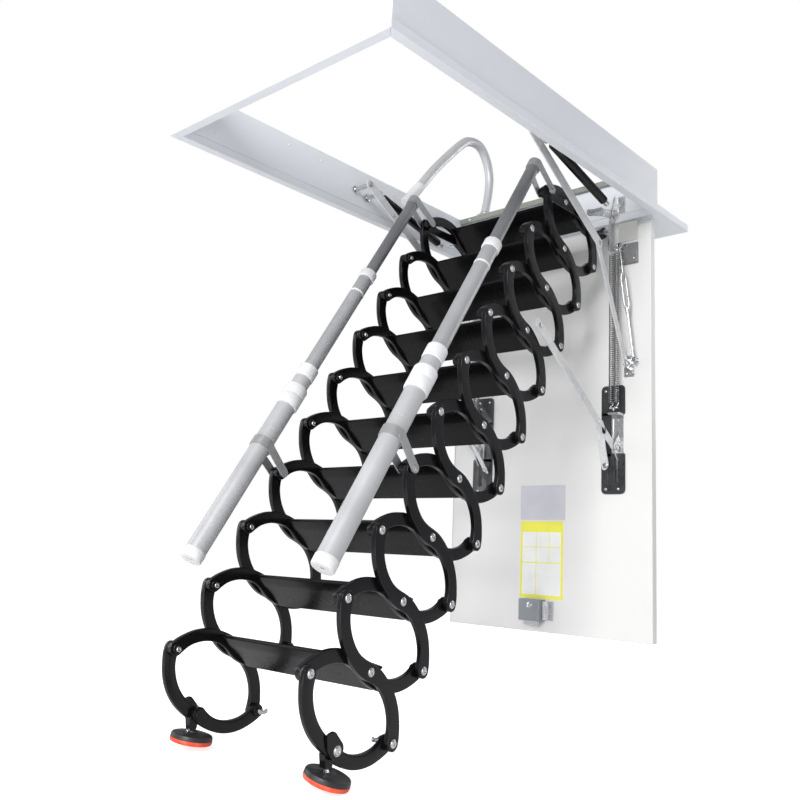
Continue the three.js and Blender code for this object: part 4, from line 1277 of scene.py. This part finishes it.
def struts():
    body, ends, rod, fork = Shape(), Shape(), Shape(), Shape()
    start, end = Vector((STRUT_X, *STRUT_FRAME)), Vector((STRUT_X, *STRUT_LEVER))
    ahead, length = end - start, (end - start).length
    tube = [(8.7, 22), (11.2, 22), (12, 23), (12, 60), (11.6, 61), (11.6, 63), (12, 64), (12, length - 35),
            (11.2, length - 34), (8.7, length - 34)]
    body.lathe(tube, start, ahead, 36, wrap=True)
    ends.lathe([(0, 13.6), (5.4, 13.6), (6.8, 15), (9.6, 21), (10.4, 24), (10.4, 30), (0, 30)],
               start, ahead, 28)
    ends.lathe([(5.4, length - 38), (8.6, length - 38), (8.6, length - 34.4), (10.6, length - 34),
                (10.6, length - 32.6), (5.4, length - 32)], start, ahead, 28, wrap=True)
    rod.lathe([(0, length - 190), (4.6, length - 190), (4.9, length - 189), (4.9, length - 14),
               (4.2, length - 13), (0, length - 13)], start, ahead, 24)
    fork.lathe([(5, length - 28), (7, length - 26), (7.4, length - 16), (6.4, length - 12.6),
                (0, length - 12.4)], start, ahead, 20)
    both(body).make("strut_tubes", "strut_bodies", BLACK, "black_gloss", pair("strut_body"))
    both(ends).make("strut_ends", "strut_bodies", PLASTIC, "black_gloss")
    both(rod).make("strut_rods_polished", "strut_rods", STEEL, "bright_steel", pair("strut_rod"))
    both(fork).make("strut_tips", "strut_rods", ZINC, "bright_steel", bevel=0.3)


COIL_R, WIRE, COIL_PITCH, COIL_ASIDE, HOOK_RUN = 6.2, 1.45, 5.4, 8, 22


def springs():
    """Two coil springs side by side on each half of the door, with hooked ends and yokes."""
    hook, anchor = Vector((SPRING_X, *SPRING_HOOK)), Vector((SPRING_X, *SPRING_ANCHOR))
    ahead = (anchor - hook).normalized()
    length = (anchor - hook).length
    across = Vector(OUTWARD)
    other = ahead.cross(across)
    first, last = HOOK_RUN, length - HOOK_RUN
    turns = int((last - first) / COIL_PITCH)
    per_turn = 10
    coils, ends = Shape(), Shape()
    for aside in (-COIL_ASIDE, COIL_ASIDE):
        centre = hook + across * aside
        path = []
        for k in range(turns * per_turn + 1):
            share = k / (turns * per_turn)
            a = 2 * math.pi * k / per_turn
            path.append(centre + ahead * (first + (last - first) * share)
                        + across * COIL_R * math.cos(a) + other * COIL_R * math.sin(a))
        coils.sweep(path, WIRE, 6)
        for end, turn in ((first, -1), (last, 1)):
            loop = [centre + ahead * end + across * COIL_R]
            for k in range(9):
                a = math.pi * k / 16
                loop.append(centre + ahead * (end + turn * 8 * math.sin(a)) + across * COIL_R * math.cos(a))
            loop.append(centre + ahead * (end + turn * 13))
            ends.sweep(smooth_path(loop, 3), WIRE, 8)
    for distance in (9, length - 9):
        at = hook + ahead * distance
        ends.rod(at - across * 12, at + across * 12, 3.0, 20)
    for distance, reach in ((9, -9), (length - 9, 9)):
        at = hook + ahead * distance
        ends.rod(at, at + ahead * reach, 2.6, 16)
    for name, shape, material in (("spring_coils", coils, SPRING_STEEL), ("spring_ends", ends, STEEL)):
        nodes = pair("spring_pair") if name == "spring_coils" else ()
        obj = both(shape).make(name, "springs", material, "bright_steel", nodes, smooth=60)
        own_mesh(obj)


def stay_arms():
    """Forked stays from the ladder's side to the door."""
    arm, pins = Shape(), Shape()
    x0, x1 = STAY_X
    run = sub(STAY_DOOR, STAY_LADDER)
    crotch = add(STAY_LADDER, run, 0.84)
    flat_bar(arm, add(STAY_LADDER, unit(run), -9), crotch, x0 + 0.4, x1 - 0.4, 12)
    flat_bar(arm, crotch, STAY_DOOR, x0 + 0.4, x1 - 0.4, 11)
    foot = Vector((STAY_FOOT_X, FACE - 14, STAY_FOOT_Z))
    knee = Vector(((x0 + x1) / 2 - 6, *crotch))
    strip(arm, smooth_path([Vector(((x0 + x1) / 2, *add(STAY_LADDER, run, 0.79))), knee,
                            knee.lerp(foot, 0.5) + Vector((-3, 0, 0)), foot], 6), (0.86, 0, 0.5), 12, 3.2)
    hex_bolt(pins, (x0 + 0.4, *STAY_LADDER), INWARD, 6.6, 4.4)
    pins.lathe([(7.4, 0), (7.4, 2), (5.4, 3.6), (0, 4)], (x1 - 0.6, *STAY_LADDER), OUTWARD, 24)
    for share in (0.78, 0.81, 0.84):
        pan_screw(pins, (x0 + 0.5, *add(STAY_LADDER, run, share)), INWARD, 2.6)
    hex_bolt(pins, (STAY_FOOT_X, FACE - 15, STAY_FOOT_Z + 2), FORWARD, 6.4, 5)
    both(arm).make("stay_bars", "stay_arms", ARM_ZINC, "zinc_plate", pair("stay_arm"), bevel=0.4)
    make_steel(pins, "stay_pins", "stay_arms")


def top_levers():
    """Levers and black side plates on the top step."""
    zinc_lever, black_plate, bolts = Shape(), Shape(), Shape()
    x0, x1 = LEVER_X
    y, z = LEVER_PIVOT
    sy, sz = STRUT_LEVER
    neck = [(sy - 7, sz - 8), (sy + 3, sz - 10), (390, -4), (y - 2, z - 13), (y + 10, z - 8),
            (y + 11, z + 8), (y - 2, z + 12), (388, 18), (sy - 8, sz + 5)]
    zinc_lever.plate(rounded(neck, [6, 6, 14, 4, 6, 6, 6, 14, 6], 5), x0 + 0.3, x1 - 0.3)
    ty, tz = TOP_PIVOT
    hy, hz = SPRING_HOOK
    drop = [(y - 11, z + 4), (y - 6, z + 10), (y + 6, z + 10), (y + 11, z + 3), (ty + 12, tz),
            (hy + 10, hz - 4), (hy + 4, hz - 11), (hy - 6, hz - 10), (hy - 10, hz), (ty - 13, tz)]
    zinc_lever.plate(rounded(drop, [5, 4, 4, 5, 10, 5, 5, 5, 5, 10], 4), x0, x1)
    zinc_lever.rod((x1 - 1, *STRUT_LEVER), (ARM_X - 5.6, *STRUT_LEVER), 5)
    zinc_lever.rod((x1 - 1, *SPRING_HOOK), (SPRING_X + 8, *SPRING_HOOK), 4)
    zinc_lever.rod((INNER_X[1] - 1, ty, tz), (x0 + 1, ty, tz), 9)
    hex_bolt(bolts, (x0 + 0.3, *LEVER_PIVOT), INWARD, 7.2, 5)
    hex_bolt(bolts, (x1 - 0.4, 386, 7), OUTWARD, 5.6, 4)
    front, middle = front_pivot(UNITS - 1), middle_pivot(UNITS - 1)
    outline = about(front, [(-18, -6), (-16, 15), (14, 17), (46, 4)])
    outline += about(middle, [(30, 15), (22, -12), (-8, -12)]) + about(front, [(6, -18)])
    black_plate.plate(rounded(outline, [9, 9, 9, 16, 10, 8, 8, 9], 5), OUTER_X[0] + 0.5, OUTER_X[0] + 6)
    for at in (front, add(mid(front, middle), (8, 2))):
        button_bolt(bolts, OUTER_X[0] + 5.8, at, 7)
    both(zinc_lever).make("top_levers", "step_10", ZINC, "black_gloss", bevel=0.5)
    both(black_plate).make("top_side_plates", "step_10", BLACK, "black_gloss", bevel=0.8)
    make_steel(bolts, "top_lever_bolts", "step_10")


lower_rail()
middle_rail()
upper_rail()
grab_rail()
foot_links()
foot_pad("right")
foot_pad("left")
top_levers()
trim()
lining()
side_brackets()
lever_bearings()
door()
door_hinges()
door_tracks()
arm_brackets()
hinge_plates()
tension_rods()
labels()
latch()
elbow_arms()
struts()
springs()
stay_arms()


# ---- floor, light and camera ----
FLOOR_GAP = 0.0015
CAMERA_AT = (1403.2, -1728.1, -962.6)
CAMERA_AHEAD = Vector((-0.6623, 0.7301, 0.1684))
CAMERA_UP = Vector((0.0806, -0.1540, 0.9848))
CAMERA_FOV = math.radians(49.165)


def floor():
    material = Nodes("pale_floor")
    colour = material.mix(material.noise(3, 4), (0.93, 0.93, 0.93), (0.9, 0.9, 0.9))
    seen = material.tree.nodes.new("ShaderNodeLightPath").outputs["Is Camera Ray"]
    material.finish(Base_Color=colour, Roughness=0.7, Emission_Color=(1.0, 1.0, 1.0),
                    Emission_Strength=material.maths("MULTIPLY", seen, 0.7))
    z = CAD_BOX[0][2] - FLOOR_GAP
    mesh = bpy.data.meshes.new("studio_floor")
    reach = 14
    mesh.from_pydata([(-reach, -reach, z), (reach, -reach, z), (reach, reach, z), (-reach, reach, z)], [],
                     [[0, 1, 2, 3]])
    obj = bpy.data.objects.new("studio_floor", mesh)
    mesh.materials.append(material.material)
    bpy.context.scene.collection.objects.link(obj)


def area_light(name, at, target, size, power):
    light = bpy.data.lights.new(name, "AREA")
    light.shape = "RECTANGLE"
    light.size, light.size_y = size
    light.energy = power
    obj = bpy.data.objects.new(name, light)
    bpy.context.scene.collection.objects.link(obj)
    obj.location = at
    obj.rotation_euler = (Vector(target) - Vector(at)).to_track_quat("-Z", "Y").to_euler()


def world():
    """White surroundings: bright to the camera, a little softer as light."""
    made = bpy.data.worlds.new("studio")
    made.use_nodes = True
    bpy.context.scene.world = made
    tree = made.node_tree
    out = tree.nodes["World Output"]
    soft = tree.nodes["Background"]
    soft.inputs["Color"].default_value = (0.93, 0.95, 1.0, 1)
    soft.inputs["Strength"].default_value = 0.44
    seen = tree.nodes.new("ShaderNodeBackground")
    seen.inputs["Color"].default_value = (1, 1, 1, 1)
    seen.inputs["Strength"].default_value = 1.0
    choose = tree.nodes.new("ShaderNodeMixShader")
    path = tree.nodes.new("ShaderNodeLightPath")
    tree.links.new(path.outputs["Is Camera Ray"], choose.inputs[0])
    tree.links.new(soft.outputs[0], choose.inputs[1])
    tree.links.new(seen.outputs[0], choose.inputs[2])
    tree.links.new(choose.outputs[0], out.inputs["Surface"])


def camera():
    data = bpy.data.cameras.new("camera")
    data.sensor_width = data.sensor_height = 36
    data.lens = 18 / math.tan(CAMERA_FOV / 2)
    obj = bpy.data.objects.new("camera", data)
    bpy.context.scene.collection.objects.link(obj)
    ahead = CAMERA_AHEAD.normalized()
    right = ahead.cross(CAMERA_UP).normalized()
    up = right.cross(ahead)
    turn = Matrix((right, up, -ahead)).transposed().to_4x4()
    obj.matrix_world = Matrix.Translation((Vector(CAMERA_AT) - ORIGIN) / 1000) @ turn
    bpy.context.scene.camera = obj
    bpy.context.scene.view_settings.view_transform = "Standard"


floor()
world()
area_light("key", (1.2, -4.6, 1.0), (0, -0.3, -0.6), (1.6, 1.6), 150)
area_light("fill", (-3.4, -2.4, 0.2), (0, -0.5, -0.6), (2.0, 2.6), 35)
area_light("below", (0.6, -2.6, -1.3), (0, -0.3, -0.2), (2.2, 1.0), 18)
area_light("back", (0.5, 3.2, 0.8), (0, 0, -0.4), (2.4, 2.0), 60)
camera()
